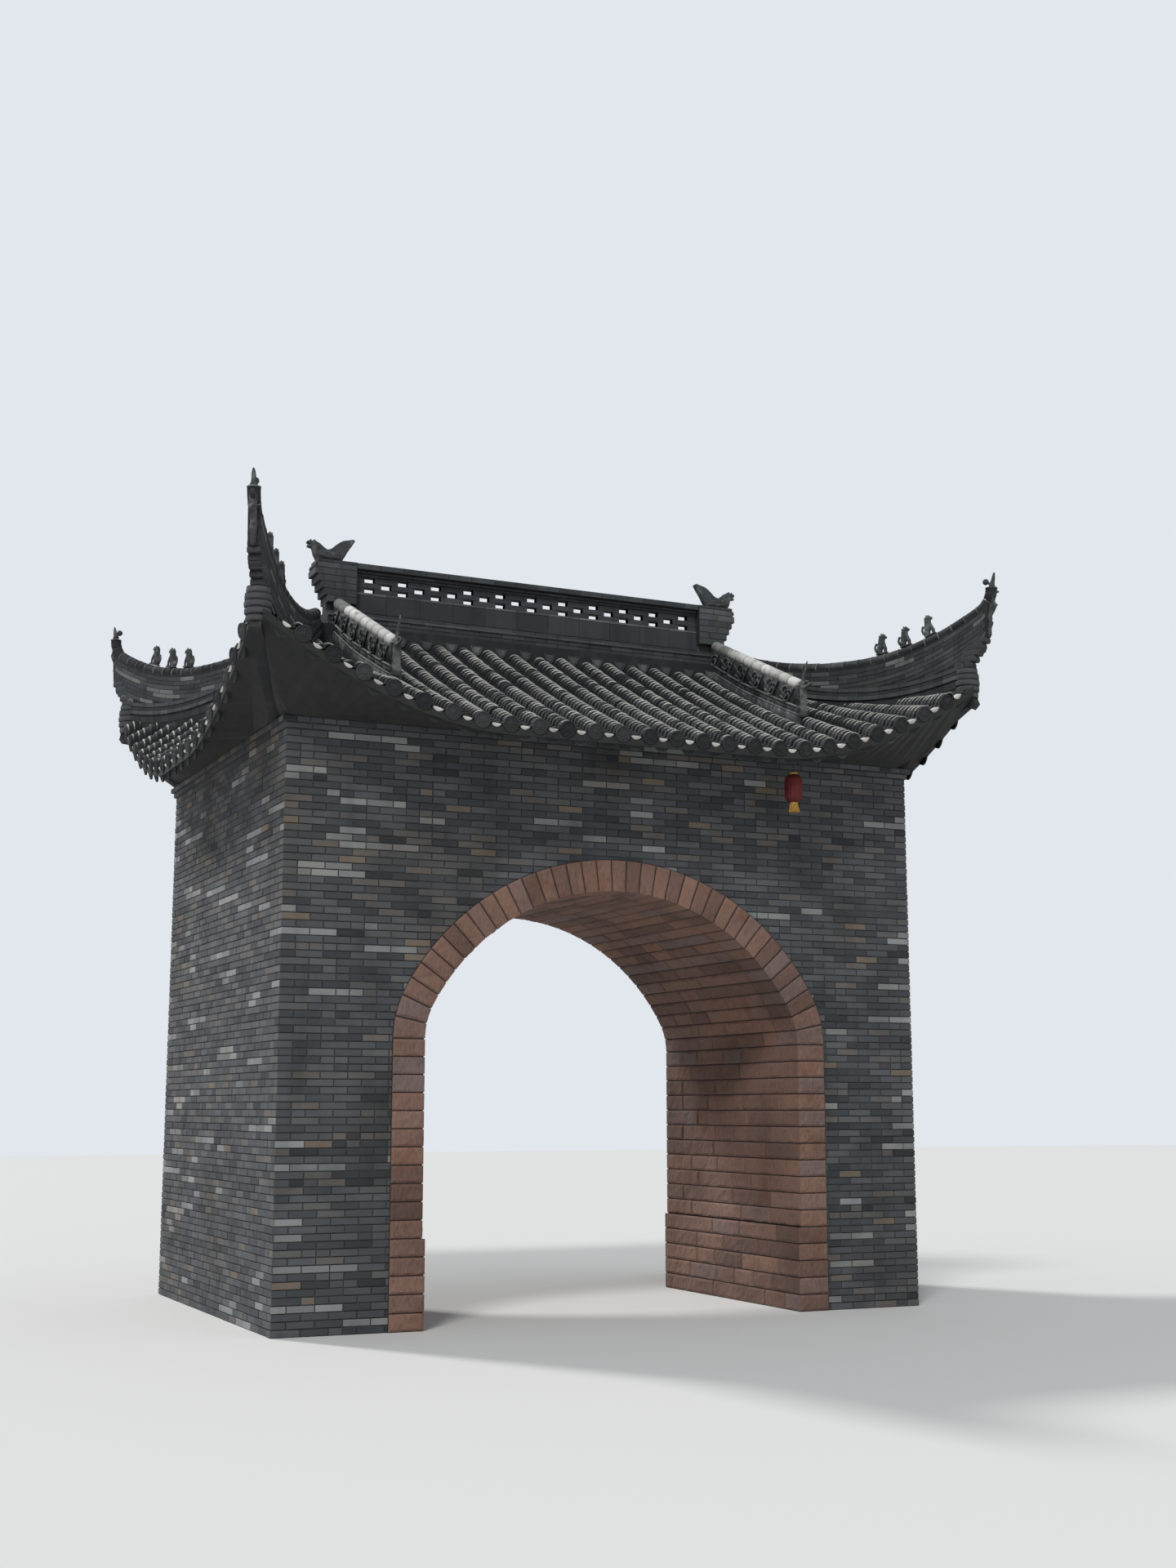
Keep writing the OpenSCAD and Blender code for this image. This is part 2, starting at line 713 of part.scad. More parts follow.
// Outline: web down to the cornice, beak, stepped courses, thorn edge and the cap's axis
module hip_outline() {
    leave_run = (cornice_x - hip_start_x) / hip_dir[0];
    foot_run = boss_run + boss_r * 0.6;
    step_h = (step_top_z - step_foot_z) / hip_steps;
    step_run = (thorn_run - 12 - foot_run) / (hip_steps - 1);
    polygon(concat(
        [[hip_from, cornice_z + bed_gap], [leave_run - 5, cornice_z + bed_gap]],
        [[foot_run - 60, boss_z - 90], [foot_run - 15, boss_z - 110]],
        [[foot_run + 35, boss_z - 60], [foot_run, boss_z + 30]],
        [for (i = [0:hip_steps - 1]) each [
            [foot_run + i * step_run, step_foot_z + i * step_h],
            [foot_run + i * step_run, step_foot_z + (i + 1) * step_h]
        ]],
        [[thorn_run, step_top_z]],
        [for (angle = spread(-20, turn_angle - 90, 3)) on_turn(hip_turn_r, angle)],
        [for (run = spread(hip_turn_run, hip_low_run, 8)) if (run < hip_turn_run) [run, hip_axis_z(run)]],
        [for (run = spread(hip_low_run, hip_from, 8)) if (run < hip_low_run) [run, hip_axis_z(run)]]
    ));
}

// Course of brick along the hip, a number of courses above the bedding of the cover tiles
module hip_course(up, courses) {
    runs = spread(hip_from, boss_run, 10);
    in_hip_plane(hip_t + courses * base_course_out)
        polygon(concat(
            [for (run = runs) [run, hip_pan_z(run) + cover_up + up * base_course_h]],
            [for (i = [len(runs) - 1:-1:0])
                [runs[i], hip_pan_z(runs[i]) + cover_up + (up + 1) * base_course_h]]
        ));
}

module hip_ridge() {
    start = asin((hip_low_run - hip_from) / hip_in_r);
    color(carving_color) {
        in_hip_plane(hip_t) hip_outline();
        hip_course(2, 2);
        hip_course(4, 1);
        cap_tiles([hip_low_run, low_axis_z + hip_in_r], hip_in_r, -90 - start, -90);
        cap_tiles([hip_low_run, low_axis_z + hip_out_r], hip_out_r, -90, -90 + turn_angle);
        cap_tiles(turn_centre, hip_turn_r, -90 + turn_angle, 0);
        boss();
    }
}

// Cap tiles laid along an arc in the hip's plane, with a joint after each
module cap_tiles(centre, radius, from, to) {
    count = round(abs(to - from) / 180 * PI * radius / cap_tile_l);
    step = (to - from) / count;
    joint = cap_joint / radius / PI * 180;
    translate([centre[0], 0, centre[1]])
        rotate([90, 0, 0])
            for (i = [0:count - 1])
                rotate([0, 0, from + i * step + joint / 2])
                    rotate_extrude(angle = step - joint) translate([radius, 0]) circle(r = cap_r);
}

// Rounded boss of stacked courses at the hip's foot. Those beside the tiles are no wider than the web.
module boss() {
    courses = 5;
    course_h = boss_h / courses;
    tiles_top = max(front_z(eave_x, eave_y), side_z(eave_x, eave_y));
    translate([boss_run, 0, boss_z])
        for (i = [0:courses - 1])
            intersection() {
                half = boss_z + i * course_h < tiles_top + 10 ? hip_t / 2 : 2 * boss_r;
                translate([0, 0, i * course_h])
                    cylinder(r = boss_r * (0.72 + 0.28 * sin(180 * (i + 1) / (courses + 1))), h = course_h);
                translate([-2 * boss_r, -half, 0]) cube([4 * boss_r, 2 * half, boss_h]);
            }
}

// Carved tip: thorns down the outer edge, a ball inwards and a spike on top
module hip_tip() {
    edge = thorn_run + bed_gap - tip_run;
    foot = -thorn_h;
    seat = on_turn(hip_turn_r, -20) - [tip_run - 2 * bed_gap, tip_z];
    color(carving_color)
        in_hip_plane(tip_t)
            difference() {
                translate([tip_run, tip_z]) {
                    polygon([
                        [edge, foot], [-18, foot * 0.99], [-30, foot * 0.82], [0, foot * 0.66],
                        [-12, foot * 0.59], [20, foot * 0.46], [70, foot * 0.39], [46, foot * 0.31],
                        [56, foot * 0.2], [90, foot * 0.13], [68, foot * 0.06], [60, 0],
                        [40, 45], [36, 95], [34, 150], [12, 108], [-20, 92],
                        [-46, 90], [-40, 40], [-30, 24], [edge, bed_gap], seat
                    ]);
                    translate([-56, 62]) circle(r = 30);
                }
                intersection() {
                    translate(turn_centre) circle(r = hip_turn_r + cap_r + bed_gap, $fn = 96);
                    translate([0, tip_z + bed_gap - 2 * thorn_h]) square([2 * hip_l, 2 * thorn_h]);
                }
            }
}

// Seated beast facing outwards, tail up behind it, with light between its legs
module beast() {
    k = beast_h / 225;
    in_hip_plane(beast_t)
        scale(k)
            difference() {
                polygon([
                    [-66, 0], [66, 0], [66, 18], [50, 26], [44, 104], [34, 138], [56, 150], [66, 172],
                    [52, 190], [40, 214], [26, 225], [14, 208], [-4, 196], [-16, 166], [-8, 134],
                    [-24, 96], [-40, 66], [-60, 78], [-66, 112], [-86, 108], [-84, 66], [-70, 40], [-66, 18]
                ]);
                polygon([[-8, 18], [30, 18], [26, 62], [8, 72], [-4, 48]]);
            }
}

module beasts() {
    color(carving_color)
        for (i = [0:beasts - 1]) {
            run = beast_first_run + i * beast_pitch;
            slope = asin((run - hip_low_run) / hip_out_r);
            translate([run, 0, hip_axis_z(run)])
                rotate([0, -slope, 0])
                    translate([0, 0, cap_r + bed_gap + 0.8]) beast();
        }
}

module at_corner(side, face) {
    scale_x = side == "left" ? 1 : 0;
    scale_y = face == "back" ? 1 : 0;
    mirror([scale_x, 0, 0]) mirror([0, scale_y, 0]) children();
}

module on_hip() {
    translate([hip_start_x, 0, 0]) rotate([0, 0, -hip_angle]) children();
}

// Lantern under the front eave: a fixed hook, and a body with bail, caps and tassel
lantern_y = front_y - lantern_out;
hook_z = under_z(lantern_x, lantern_y, front_z(lantern_x, lantern_y)) + 30 - hook_l;
eye_r = 14;
body_top_z = hook_z - bail_h;

module lantern_hook() {
    color("#3a3a3a")
        translate([lantern_x, lantern_y, hook_z]) {
            rotate([90, 0, 0])
                rotate_extrude() translate([eye_r, 0]) circle(d = wire_d);
            translate([0, 0, eye_r]) cylinder(d = wire_d, h = hook_l - eye_r - bed_gap);
        }
}

module lantern_body() {
    r = lantern_w / 2;
    cap_w = lantern_w * 0.5;
    cap_h = 18;
    ring_up = bail_h - 2 * eye_r + wire_d + bed_gap;
    color("#b3231f")
        translate([lantern_x, lantern_y, body_top_z]) {
            rotate_extrude()
                polygon([
                    [0, cap_h - lantern_h], [cap_w * 0.55, cap_h - lantern_h], [r * 0.86, 55 - lantern_h],
                    [r, 100 - lantern_h], [r, -100], [r * 0.86, -55], [cap_w * 0.55, -cap_h], [0, -cap_h]
                ]);
            for (z = [-lantern_h, -cap_h])
                translate([0, 0, z]) cylinder(d = cap_w, h = cap_h);
            cylinder(d = wire_d, h = ring_up - eye_r);
            translate([0, 0, ring_up])
                rotate([0, 90, 0]) rotate([0, 0, 90])
                    rotate_extrude() translate([eye_r, 0]) circle(d = wire_d);
        }
}

module lantern_tassel() {
    color("#c9a24a")
        translate([lantern_x, lantern_y, body_top_z - lantern_h - bed_gap - tassel_l])
            cylinder(d1 = lantern_w * 0.62, d2 = lantern_w * 0.45, h = tassel_l);
}

mirror([1, 0, 0]) pier();  // left_pier
pier();  // right_pier
wall_over_arch();
mirror([1, 0, 0]) jamb();  // left_jamb
jamb();  // right_jamb
passage_vault();
front_arch_ring();
bay_vault();
rear_surround();
eave_cornice();
roof_front_bored();  // roof_front
mirror([0, 1, 0]) roof_front();  // roof_back
mirror([1, 0, 0]) roof_right();  // roof_left
roof_right();
tile_rows_front();
mirror([0, 1, 0]) tile_rows_front();  // tile_rows_back
mirror([1, 0, 0]) tile_rows_right();  // tile_rows_left
tile_rows_right();
ridge_base();
ridge_panel_band();
ridge_pierced_band();
ridge_top_course();
mirror([1, 0, 0]) ridge_end();  // ridge_end_left
ridge_end();  // ridge_end_right
mirror([1, 0, 0]) ridge_finial();  // ridge_finial_left
ridge_finial();  // ridge_finial_right
at_corner("left", "front") side_ridge();  // side_ridge_front_left
at_corner("right", "front") side_ridge();  // side_ridge_front_right
at_corner("left", "back") side_ridge();  // side_ridge_back_left
at_corner("right", "back") side_ridge();  // side_ridge_back_right
at_corner("left", "front") on_hip() hip_ridge();  // hip_ridge_front_left
at_corner("right", "front") on_hip() hip_ridge();  // hip_ridge_front_right
at_corner("left", "back") on_hip() hip_ridge();  // hip_ridge_back_left
at_corner("right", "back") on_hip() hip_ridge();  // hip_ridge_back_right
at_corner("left", "front") on_hip() hip_tip();  // hip_tip_front_left
at_corner("right", "front") on_hip() hip_tip();  // hip_tip_front_right
at_corner("left", "back") on_hip() hip_tip();  // hip_tip_back_left
at_corner("right", "back") on_hip() hip_tip();  // hip_tip_back_right
at_corner("left", "front") on_hip() beasts();  // beasts_front_left
at_corner("right", "front") on_hip() beasts();  // beasts_front_right
at_corner("left", "back") on_hip() beasts();  // beasts_back_left
at_corner("right", "back") on_hip() beasts();  // beasts_back_right
lantern_hook();
lantern_body();
lantern_tassel();
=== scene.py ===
"""Finishes the roofed brick arch gateway: bricks, dressed stones, tiles, ridges, carvings and lantern."""
import random
from math import asin, atan2, cos, degrees, dist, hypot, pi, radians, sin, sqrt, tau

import bmesh
import bpy
from mathutils import Matrix, Vector, noise


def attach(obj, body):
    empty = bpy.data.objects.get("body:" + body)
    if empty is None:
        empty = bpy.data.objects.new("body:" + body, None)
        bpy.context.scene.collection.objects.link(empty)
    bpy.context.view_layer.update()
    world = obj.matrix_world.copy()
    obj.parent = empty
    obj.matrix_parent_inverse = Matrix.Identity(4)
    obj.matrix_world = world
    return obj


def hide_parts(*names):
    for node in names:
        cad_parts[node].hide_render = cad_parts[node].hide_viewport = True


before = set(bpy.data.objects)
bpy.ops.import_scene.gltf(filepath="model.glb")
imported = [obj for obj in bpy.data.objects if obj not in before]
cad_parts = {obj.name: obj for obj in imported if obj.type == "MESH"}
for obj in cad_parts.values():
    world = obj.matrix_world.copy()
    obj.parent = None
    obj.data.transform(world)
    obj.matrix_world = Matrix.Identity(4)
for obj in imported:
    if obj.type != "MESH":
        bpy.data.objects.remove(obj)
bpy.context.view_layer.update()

# ---- Brick walls ----
# Grey fired bricks in running bond, 240 mm long in courses of 63 mm, with half bats here and there.
# Each brick is its own block over the mortar; light and tan ones come in short runs.


def stand(name, data):
    """A new object in the scene."""
    made = bpy.data.objects.new(name, data)
    bpy.context.scene.collection.objects.link(made)
    return made


class Shade:
    """One output of a shader node, so that a finish can be written as sums of masks."""

    def __init__(self, finish, socket):
        self.finish = finish
        self.socket = socket

    def sum(self, operation, first, second):
        return self.finish.node("ShaderNodeMath", {"operation": operation}, {0: first, 1: second})

    def __add__(self, other):
        return self.sum("ADD", self, other)

    def __sub__(self, other):
        return self.sum("SUBTRACT", self, other)

    def __rsub__(self, other):
        return self.sum("SUBTRACT", other, self)

    def __mul__(self, other):
        return self.sum("MULTIPLY", self, other)

    __radd__, __rmul__ = __add__, __mul__

    def ease(self, low, high):
        """0 at low, 1 at high, smooth between."""
        steps = {"Value": self, "From Min": low, "From Max": high}
        return self.finish.node("ShaderNodeMapRange", {"interpolation_type": "SMOOTHSTEP"}, steps)


class Finish:
    """A procedural material. node() adds any shader node and returns one of its outputs."""

    def __init__(self, name):
        self.material = bpy.data.materials.new(name)
        self.material.use_nodes = True
        self.tree = self.material.node_tree
        self.shader = self.tree.nodes["Principled BSDF"]
        self.where = self.node("ShaderNodeTexCoord", {}, {}, "Object")
        self.tone = self.node("ShaderNodeAttribute", {"attribute_name": "tone"}, {}, "Fac")

    def node(self, kind, settings, sockets, out=0):
        made = self.tree.nodes.new(kind)
        for key, value in settings.items():
            setattr(made, key, value)
        for key, value in sockets.items():
            self.feed(made.inputs[key], value)
        return Shade(self, made.outputs[out])

    def feed(self, socket, value):
        if isinstance(value, Shade):
            self.tree.links.new(value.socket, socket)
        elif isinstance(value, tuple) and len(value) == 3 and socket.type == "RGBA":
            socket.default_value = (*value, 1)
        else:
            socket.default_value = value

    def mottle(self, scale, detail=3.0, stretch=None):
        """Noise of 0 to 1 over the surface, with this many lumps a metre."""
        place = self.where
        if stretch:
            place = self.node("ShaderNodeVectorMath", {"operation": "MULTIPLY"}, {0: place, 1: stretch})
        return self.node("ShaderNodeTexNoise", {}, {"Vector": place, "Scale": scale, "Detail": detail})

    def tones(self, *stops):
        """The colour that each piece takes from its own tone, between stops of tone, red, green, blue."""
        made = self.tree.nodes.new("ShaderNodeValToRGB")
        ramp = made.color_ramp
        while len(ramp.elements) < len(stops):
            ramp.elements.new(0.5)
        for element, (place, *colour) in zip(ramp.elements, stops):
            element.position = place
            element.color = (*rgb(*colour), 1)
        self.feed(made.inputs["Fac"], self.tone)
        return Shade(self, made.outputs[0])

    def mix(self, part, first, second, blend="MIX"):
        sockets = {0: part, 6: first, 7: second}
        return self.node("ShaderNodeMix", {"data_type": "RGBA", "blend_type": blend}, sockets, 2)

    def shaded(self, colour, amount):
        """A colour made lighter or darker by a number or a mask."""
        return self.node("ShaderNodeVectorMath", {"operation": "SCALE"}, {0: colour, "Scale": amount})

    def wear(self, colour, roughness, height, depth=0.004, strength=0.6, metallic=0.0):
        """Gives the shader its colour, roughness and the relief of a height mask."""
        relief = {"Height": height, "Distance": depth, "Strength": strength}
        bump = self.node("ShaderNodeBump", {}, relief)
        for key, value in (
            ("Base Color", colour), ("Roughness", roughness), ("Normal", bump), ("Metallic", metallic),
        ):
            self.feed(self.shader.inputs[key], value)

    def dress(self, *nodes):
        """Puts the finish on solids that are carried over."""
        for name in nodes:
            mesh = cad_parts[name].data
            mesh.materials.clear()
            mesh.materials.append(self.material)


def rgb(red, green, blue):
    """A colour as a paint chart gives it, in the linear values that shaders use."""
    return tuple(
        v / 255 / 12.92 if v < 10.3 else ((v / 255 + 0.055) / 1.055) ** 2.4 for v in (red, green, blue)
    )


def grid(stops, count, point):
    """Rows of points, a row for each stop: point gives the i-th of a row."""
    return [[point(i, *stop) for i in range(count)] for stop in stops]


class Work:
    """Gathers many like small pieces into one mesh, and gives each its own tone."""

    def __init__(self):
        self.points, self.faces, self.toned = [], [], []

    def add(self, points, faces, tone):
        start = len(self.points)
        self.points.extend(points)
        self.faces.extend([start + i for i in face] for face in faces)
        self.toned.extend([tone] * len(faces) if isinstance(tone, float) else tone)

    def skin(self, rows, tone, closed=False):
        """The faces between rows of points; a list of tones gives one for each strip."""
        across = len(rows[0])
        faces, toned = [], []
        for r in range(len(rows) - 1):
            for i in range(across if closed else across - 1):
                j = (i + 1) % across
                faces.append((r * across + i, r * across + j, (r + 1) * across + j, (r + 1) * across + i))
                toned.append(tone if isinstance(tone, float) else tone[r])
        self.add([p for row in rows for p in row], faces, toned)

    def join(self, made, turned):
        """Takes up other work, turned over where it was laid in a mirrored corner."""
        self.add(made.points, [face[::-1] if turned else face for face in made.faces], made.toned)

    def piece(self, name, finish, slot, body="gate", smooth=False, hides=()):
        mesh = bpy.data.meshes.new(name)
        mesh.from_pydata(self.points, [], self.faces)
        mesh.attributes.new("tone", "FLOAT", "FACE").data.foreach_set("value", self.toned)
        mesh.polygons.foreach_set("use_smooth", [smooth] * len(self.faces))
        mesh.materials.append(finish.material)
        mesh.update()
        made = stand(name, mesh)
        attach(made, body)
        if hides:
            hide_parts(*hides)


wall_w, wall_d, wall_h = 6.27, 4.16, 5.05
front_y, back_y = -wall_d / 2, wall_d / 2
brick_l, brick_h, mortar = 0.24, 0.063, 0.009
brick_proud, arris, shortest = 0.007, 0.003, 0.03
bat_share, tan_share, run_share, run_gap, run_lengths = 0.10, 0.012, 0.07, 10, (1, 1, 2, 3)
light_tone, tan_tone, usual_tone, dark_limit = (0.80, 0.92), 0.985, (0.40, 0.17), 0.74
ring_t, ring_d, lined_y, ring_lap = 0.282, 0.36, front_y + 2.68, 0.012


class Arch:
    """A three-centred arch on upright jambs, rising over its springing with haunches of this radius."""

    def __init__(self, half, springing, rise, haunch):
        self.half, self.springing, self.haunch = half, springing, haunch
        self.radius = (half**2 + rise**2 - 2 * half * haunch) / (2 * (rise - haunch))
        self.lean = atan2(half - haunch, self.radius - rise)
        self.centre = springing + rise - self.radius
        self.side = haunch * (pi / 2 - self.lean)
        self.length = 2 * self.side + 2 * self.lean * self.radius

    def at(self, distance, grow):
        """Point at a distance up from the right springing, this far outside the arch's line."""
        crowned = distance - self.side
        if 0 <= crowned < 2 * self.lean * self.radius:
            angle = pi / 2 - self.lean + crowned / self.radius
            r = self.radius + grow
            return r * cos(angle), self.centre + r * sin(angle)
        angle, side = distance / self.haunch, 1
        if crowned > 0:
            angle = pi / 2 + self.lean + (crowned - 2 * self.lean * self.radius) / self.haunch
            side = -1
        x = side * (self.half - self.haunch) + (self.haunch + grow) * cos(angle)
        return x, self.springing + (self.haunch + grow) * sin(angle)

    def spans(self, x, z, grow):
        """Whether a point lies inside the arch and its jambs, with this much added all round."""
        if z < self.springing:
            return abs(x) < self.half + grow
        if atan2(abs(x), z - self.centre) > self.lean:
            aside = abs(x) - (self.half - self.haunch)
            return hypot(aside, z - self.springing) < self.haunch + grow
        return hypot(x, z - self.centre) < self.radius + grow


passage, bay = Arch(1.862, 2.43, 1.365, 0.65), Arch(2.65, 3.2, 1.38, 0.8)


def wall_face(corner_x, corner_y, along_x, along_y):
    """Turns a distance along a wall, a height and a distance out of it into a point."""

    def place(u, v, out):
        return (corner_x + along_x * u + along_y * out, corner_y + along_y * u - along_x * out, v)

    return place


def lay_brick(work, place, left, right, low, high, proud, tone):
    """One brick's face and its four worn edges."""
    points = []
    for inset, out in ((0, 0.0), (0, proud - arris), (arris, proud)):
        a, b, c, d = left + inset, right - inset, low + inset, high - inset
        points += [place(a, c, out), place(b, c, out), place(b, d, out), place(a, d, out)]
    faces = [(8, 9, 10, 11)]
    for ring in (0, 4):
        faces += [(ring + i, ring + (i + 1) % 4, ring + 4 + (i + 1) % 4, ring + 4 + i) for i in range(4)]
    work.add(points, faces, tone)


def lay_bond(work, place, length, low, high, first, hidden=None, turned=0.0, course_h=brick_h):
    """Running bond over a face. Where the corner is turned, the end bricks reach round it."""
    courses = round((high - low) / course_h)
    rise = (high - low) / courses
    pitch = length / max(1, round(length / brick_l))
    light = 0
    for course in range(courses):
        bottom, top = low + course * rise, low + (course + 1) * rise
        start = 0.0 if (course + first) % 2 == 0 else -pitch / 2
        while start < length - 0.02:
            ends = [start, start + pitch]
            if random.random() < bat_share:
                ends.insert(1, start + pitch / 2)
            for a, b in zip(ends, ends[1:]):
                left, right = max(a, 0.0), min(b, length)
                if right - left < shortest:
                    continue
                if hidden and all(hidden(u, v) for u in (left, right) for v in (bottom, top)):
                    continue
                light -= 1
                if light < -run_gap and random.random() < run_share:
                    light = random.choice(run_lengths)
                if light > 0:
                    tone = random.uniform(*light_tone)
                elif random.random() < tan_share:
                    tone = tan_tone
                else:
                    tone = min(dark_limit, max(0.0, random.gauss(*usual_tone)))
                left = left + mortar / 2 if left > 0 else left - turned
                right = right - mortar / 2 if right < length else right + turned
                proud = brick_proud + random.uniform(-0.003, 0.003)
                lay_brick(work, place, left, right, bottom + mortar / 2, top - mortar / 2, proud, tone)
            start += pitch


brick = Finish("Fired grey brick")
kiln = brick.tones(
    (0.00, 46, 49, 52), (0.30, 66, 69, 72), (0.55, 84, 86, 88), (0.74, 96, 91, 86),
    (0.80, 112, 114, 114), (0.92, 140, 142, 141), (0.985, 108, 98, 86),
)
soot = brick.mottle(2.2, 4).ease(0.42, 0.68)
earth = brick.mottle(0.9, 2).ease(0.50, 0.66)
streak = brick.mottle(5.0, 3, (1, 1, 0.12)).ease(0.50, 0.75)
grit = brick.mottle(140.0, 4)
chips = brick.mottle(34.0, 5)
colour = brick.mix(earth * 0.45, kiln, brick.mix(1.0, kiln, rgb(228, 208, 190), "MULTIPLY"))
colour = brick.shaded(colour, 1.12 - 0.30 * soot - 0.18 * streak + 0.34 * (grit - 0.5))
brick.wear(colour, 0.84 + 0.14 * chips, 0.5 * chips + 0.5 * grit, 0.004, 0.75)

mortar_bed = Finish("Recessed lime mortar")
dirt = mortar_bed.mottle(6.0, 4)
sand = mortar_bed.mottle(180.0, 3)
colour = mortar_bed.mix(dirt, rgb(36, 37, 38), rgb(74, 73, 70))
mortar_bed.wear(colour, 0.92 + 0.06 * sand, sand, 0.003, 0.6)
mortar_bed.dress("left_pier", "right_pier", "wall_over_arch", "bay_vault", "eave_cornice")


def behind_ring(middle, arch):
    """The part of a wall that an arch and its ring of stones take up."""
    return lambda u, v: arch.spans(u - middle, v, ring_t - ring_lap)


random.seed(63)
for name, corner_x, face_y, along, arch in (
    ("front_bricks", -wall_w / 2, front_y, 1, passage), ("back_bricks", wall_w / 2, back_y, -1, bay),
):
    bond, place = Work(), wall_face(corner_x, face_y, along, 0)
    lay_bond(bond, place, wall_w, 0, wall_h, 0, behind_ring(wall_w / 2, arch), brick_proud)
    bond.piece(name, brick, "brick")
for name, face in (("right_bricks", 1), ("left_bricks", -1)):
    bond, place = Work(), wall_face(face * wall_w / 2, -face * wall_d / 2, 0, face)
    lay_bond(bond, place, wall_d, 0, wall_h, 1, None, brick_proud)
    bond.piece(name, brick, "brick")

# ---- Rear bay ----
# Behind the stone lining the passage widens into a bay of the same grey brick under a brick vault.
# Its side walls, vault courses and the bricks over the lining's end are laid on the solid's faces.

bay_bond = Work()
bay_half, bay_d, bay_top = bay.half, back_y - ring_d - lined_y, 4.6
for face in (1, -1):
    place = wall_face(face * bay_half, lined_y if face < 0 else lined_y + bay_d, 0, -face)
    lay_bond(bay_bond, place, bay_d, 0, bay.springing, 0)


def soffit(arch, from_y, way):
    """Turns a distance into the passage, one up along the arch and one out of it into a point."""

    def place(u, v, out):
        x, z = arch.at(v, -out)
        return x, from_y + way * u, z

    return place


def off_bay_end(u, v):
    return behind_ring(bay_half, passage)(u, v) or not bay.spans(bay_half - u, v, 0.02)


lay_bond(bay_bond, soffit(bay, lined_y + bay_d, -1), bay_d, 0, bay.length, 0)
lay_bond(bay_bond, wall_face(bay_half, lined_y, -1, 0), 2 * bay_half, 0, bay_top, 0, off_bay_end)
bay_bond.piece("bay_bricks", brick, "brick")

# ---- Dressed stones ----
# Pink-brown sandstone blocks line the passage and ring both arches, set close with dark joints.
# Each face is pitched rough inside a narrow drafted margin, and the lowest courses stand proud.

stone_proud, stone_joint, margin, cell, shortest_stone = 0.015, 0.009, 0.008, 0.045, 0.25
bed_out, draft_out, field_out, lump_out, pitch_out, pick_out = 0.0005, 0.007, 0.011, 0.004, 0.008, 0.006
ledge_h, ledge_out, jamb_courses, quoin_courses, voussoirs = 0.70, 0.025, 16, 21, 37
jamb_lengths, vault_lengths = (1.03, 0.55, 0.37, 0.7), (1.03, 0.55, 0.37, 0.8)


def face_stops(low, high, low_turns, high_turns):
    """Places across a stone's face, each with its kind: 0 bed, 1 margin, 2 rough field, 3 turned arris."""
    stops = [(low - margin, 3)] if low_turns else [(low + stone_joint / 2, 0), (low + stone_joint, 1)]
    ends = [(high + margin, 3)] if high_turns else [(high - stone_joint, 1), (high - stone_joint / 2, 0)]
    cells = max(2, round((high - low) / cell))
    field = [(low + (high - low) * (i + 0.5) / cells, 2) for i in range(cells)]
    return stops + field + ends


def dress_stone(work, place, u0, u1, v0, v1, tone, turns=""):
    """One face of a stone; turns names the edges (l, r, b) where it goes round to another face."""
    rows = []
    lump = random.uniform(0, lump_out)
    for v, v_kind in face_stops(v0, v1, "b" in turns, False):
        row = []
        for u, u_kind in face_stops(u0, u1, "l" in turns, "r" in turns):
            if 0 in (u_kind, v_kind):
                out = bed_out
            elif 3 in (u_kind, v_kind):
                out = margin
            elif 1 in (u_kind, v_kind):
                out = draft_out
            else:
                at = Vector(place(u, v, 0))
                out = field_out + lump + pitch_out * noise.noise(at * 11) + pick_out * noise.noise(at * 34)
            row.append(place(u, v, out))
        rows.append(row)
    work.skin(rows, tone)


def lay_stones(work, place, length, v0, v1, sizes, end_turns):
    """A course of stones of mixed lengths, which turns the corner at its start."""
    u = 0.0
    while u < length - 0.001:
        size = random.choice(sizes)
        if length - u - size < shortest_stone:
            size = length - u
        edges = ("l" if u == 0 else "") + (end_turns if u + size > length - 0.001 else "")
        dress_stone(work, place, u, u + size, v0, v1, random.random(), edges)
        u += size


sandstone = Finish("Pitched pink-brown sandstone")
bedded = sandstone.tones(
    (0.00, 104, 80, 70), (0.35, 124, 96, 84), (0.70, 136, 104, 88), (1.00, 118, 100, 96),
)
grain = sandstone.mottle(95.0, 5)
tooling = sandstone.mottle(26.0, 6, (2.6, 2.6, 0.7))
weather = sandstone.mottle(1.6, 4).ease(0.40, 0.70)
iron_stain = sandstone.mottle(4.0, 4).ease(0.55, 0.72)
colour = sandstone.mix(iron_stain * 0.45, bedded, rgb(120, 78, 58))
colour = sandstone.shaded(colour, 0.96 - 0.26 * weather + 0.75 * (tooling - 0.45) + 0.30 * (grain - 0.5))
sandstone.wear(colour, 0.86 + 0.12 * grain, 0.65 * tooling + 0.35 * grain, 0.010, 0.9)

stone_bed = Finish("Dark joints between stones")
seam = stone_bed.mottle(40.0, 3)
stone_bed.wear(stone_bed.mix(seam, rgb(34, 26, 24), rgb(58, 46, 42)), 0.95 - 0.05 * seam, seam, 0.003, 0.5)
stone_bed.dress("left_jamb", "right_jamb", "passage_vault", "front_arch_ring", "rear_surround")

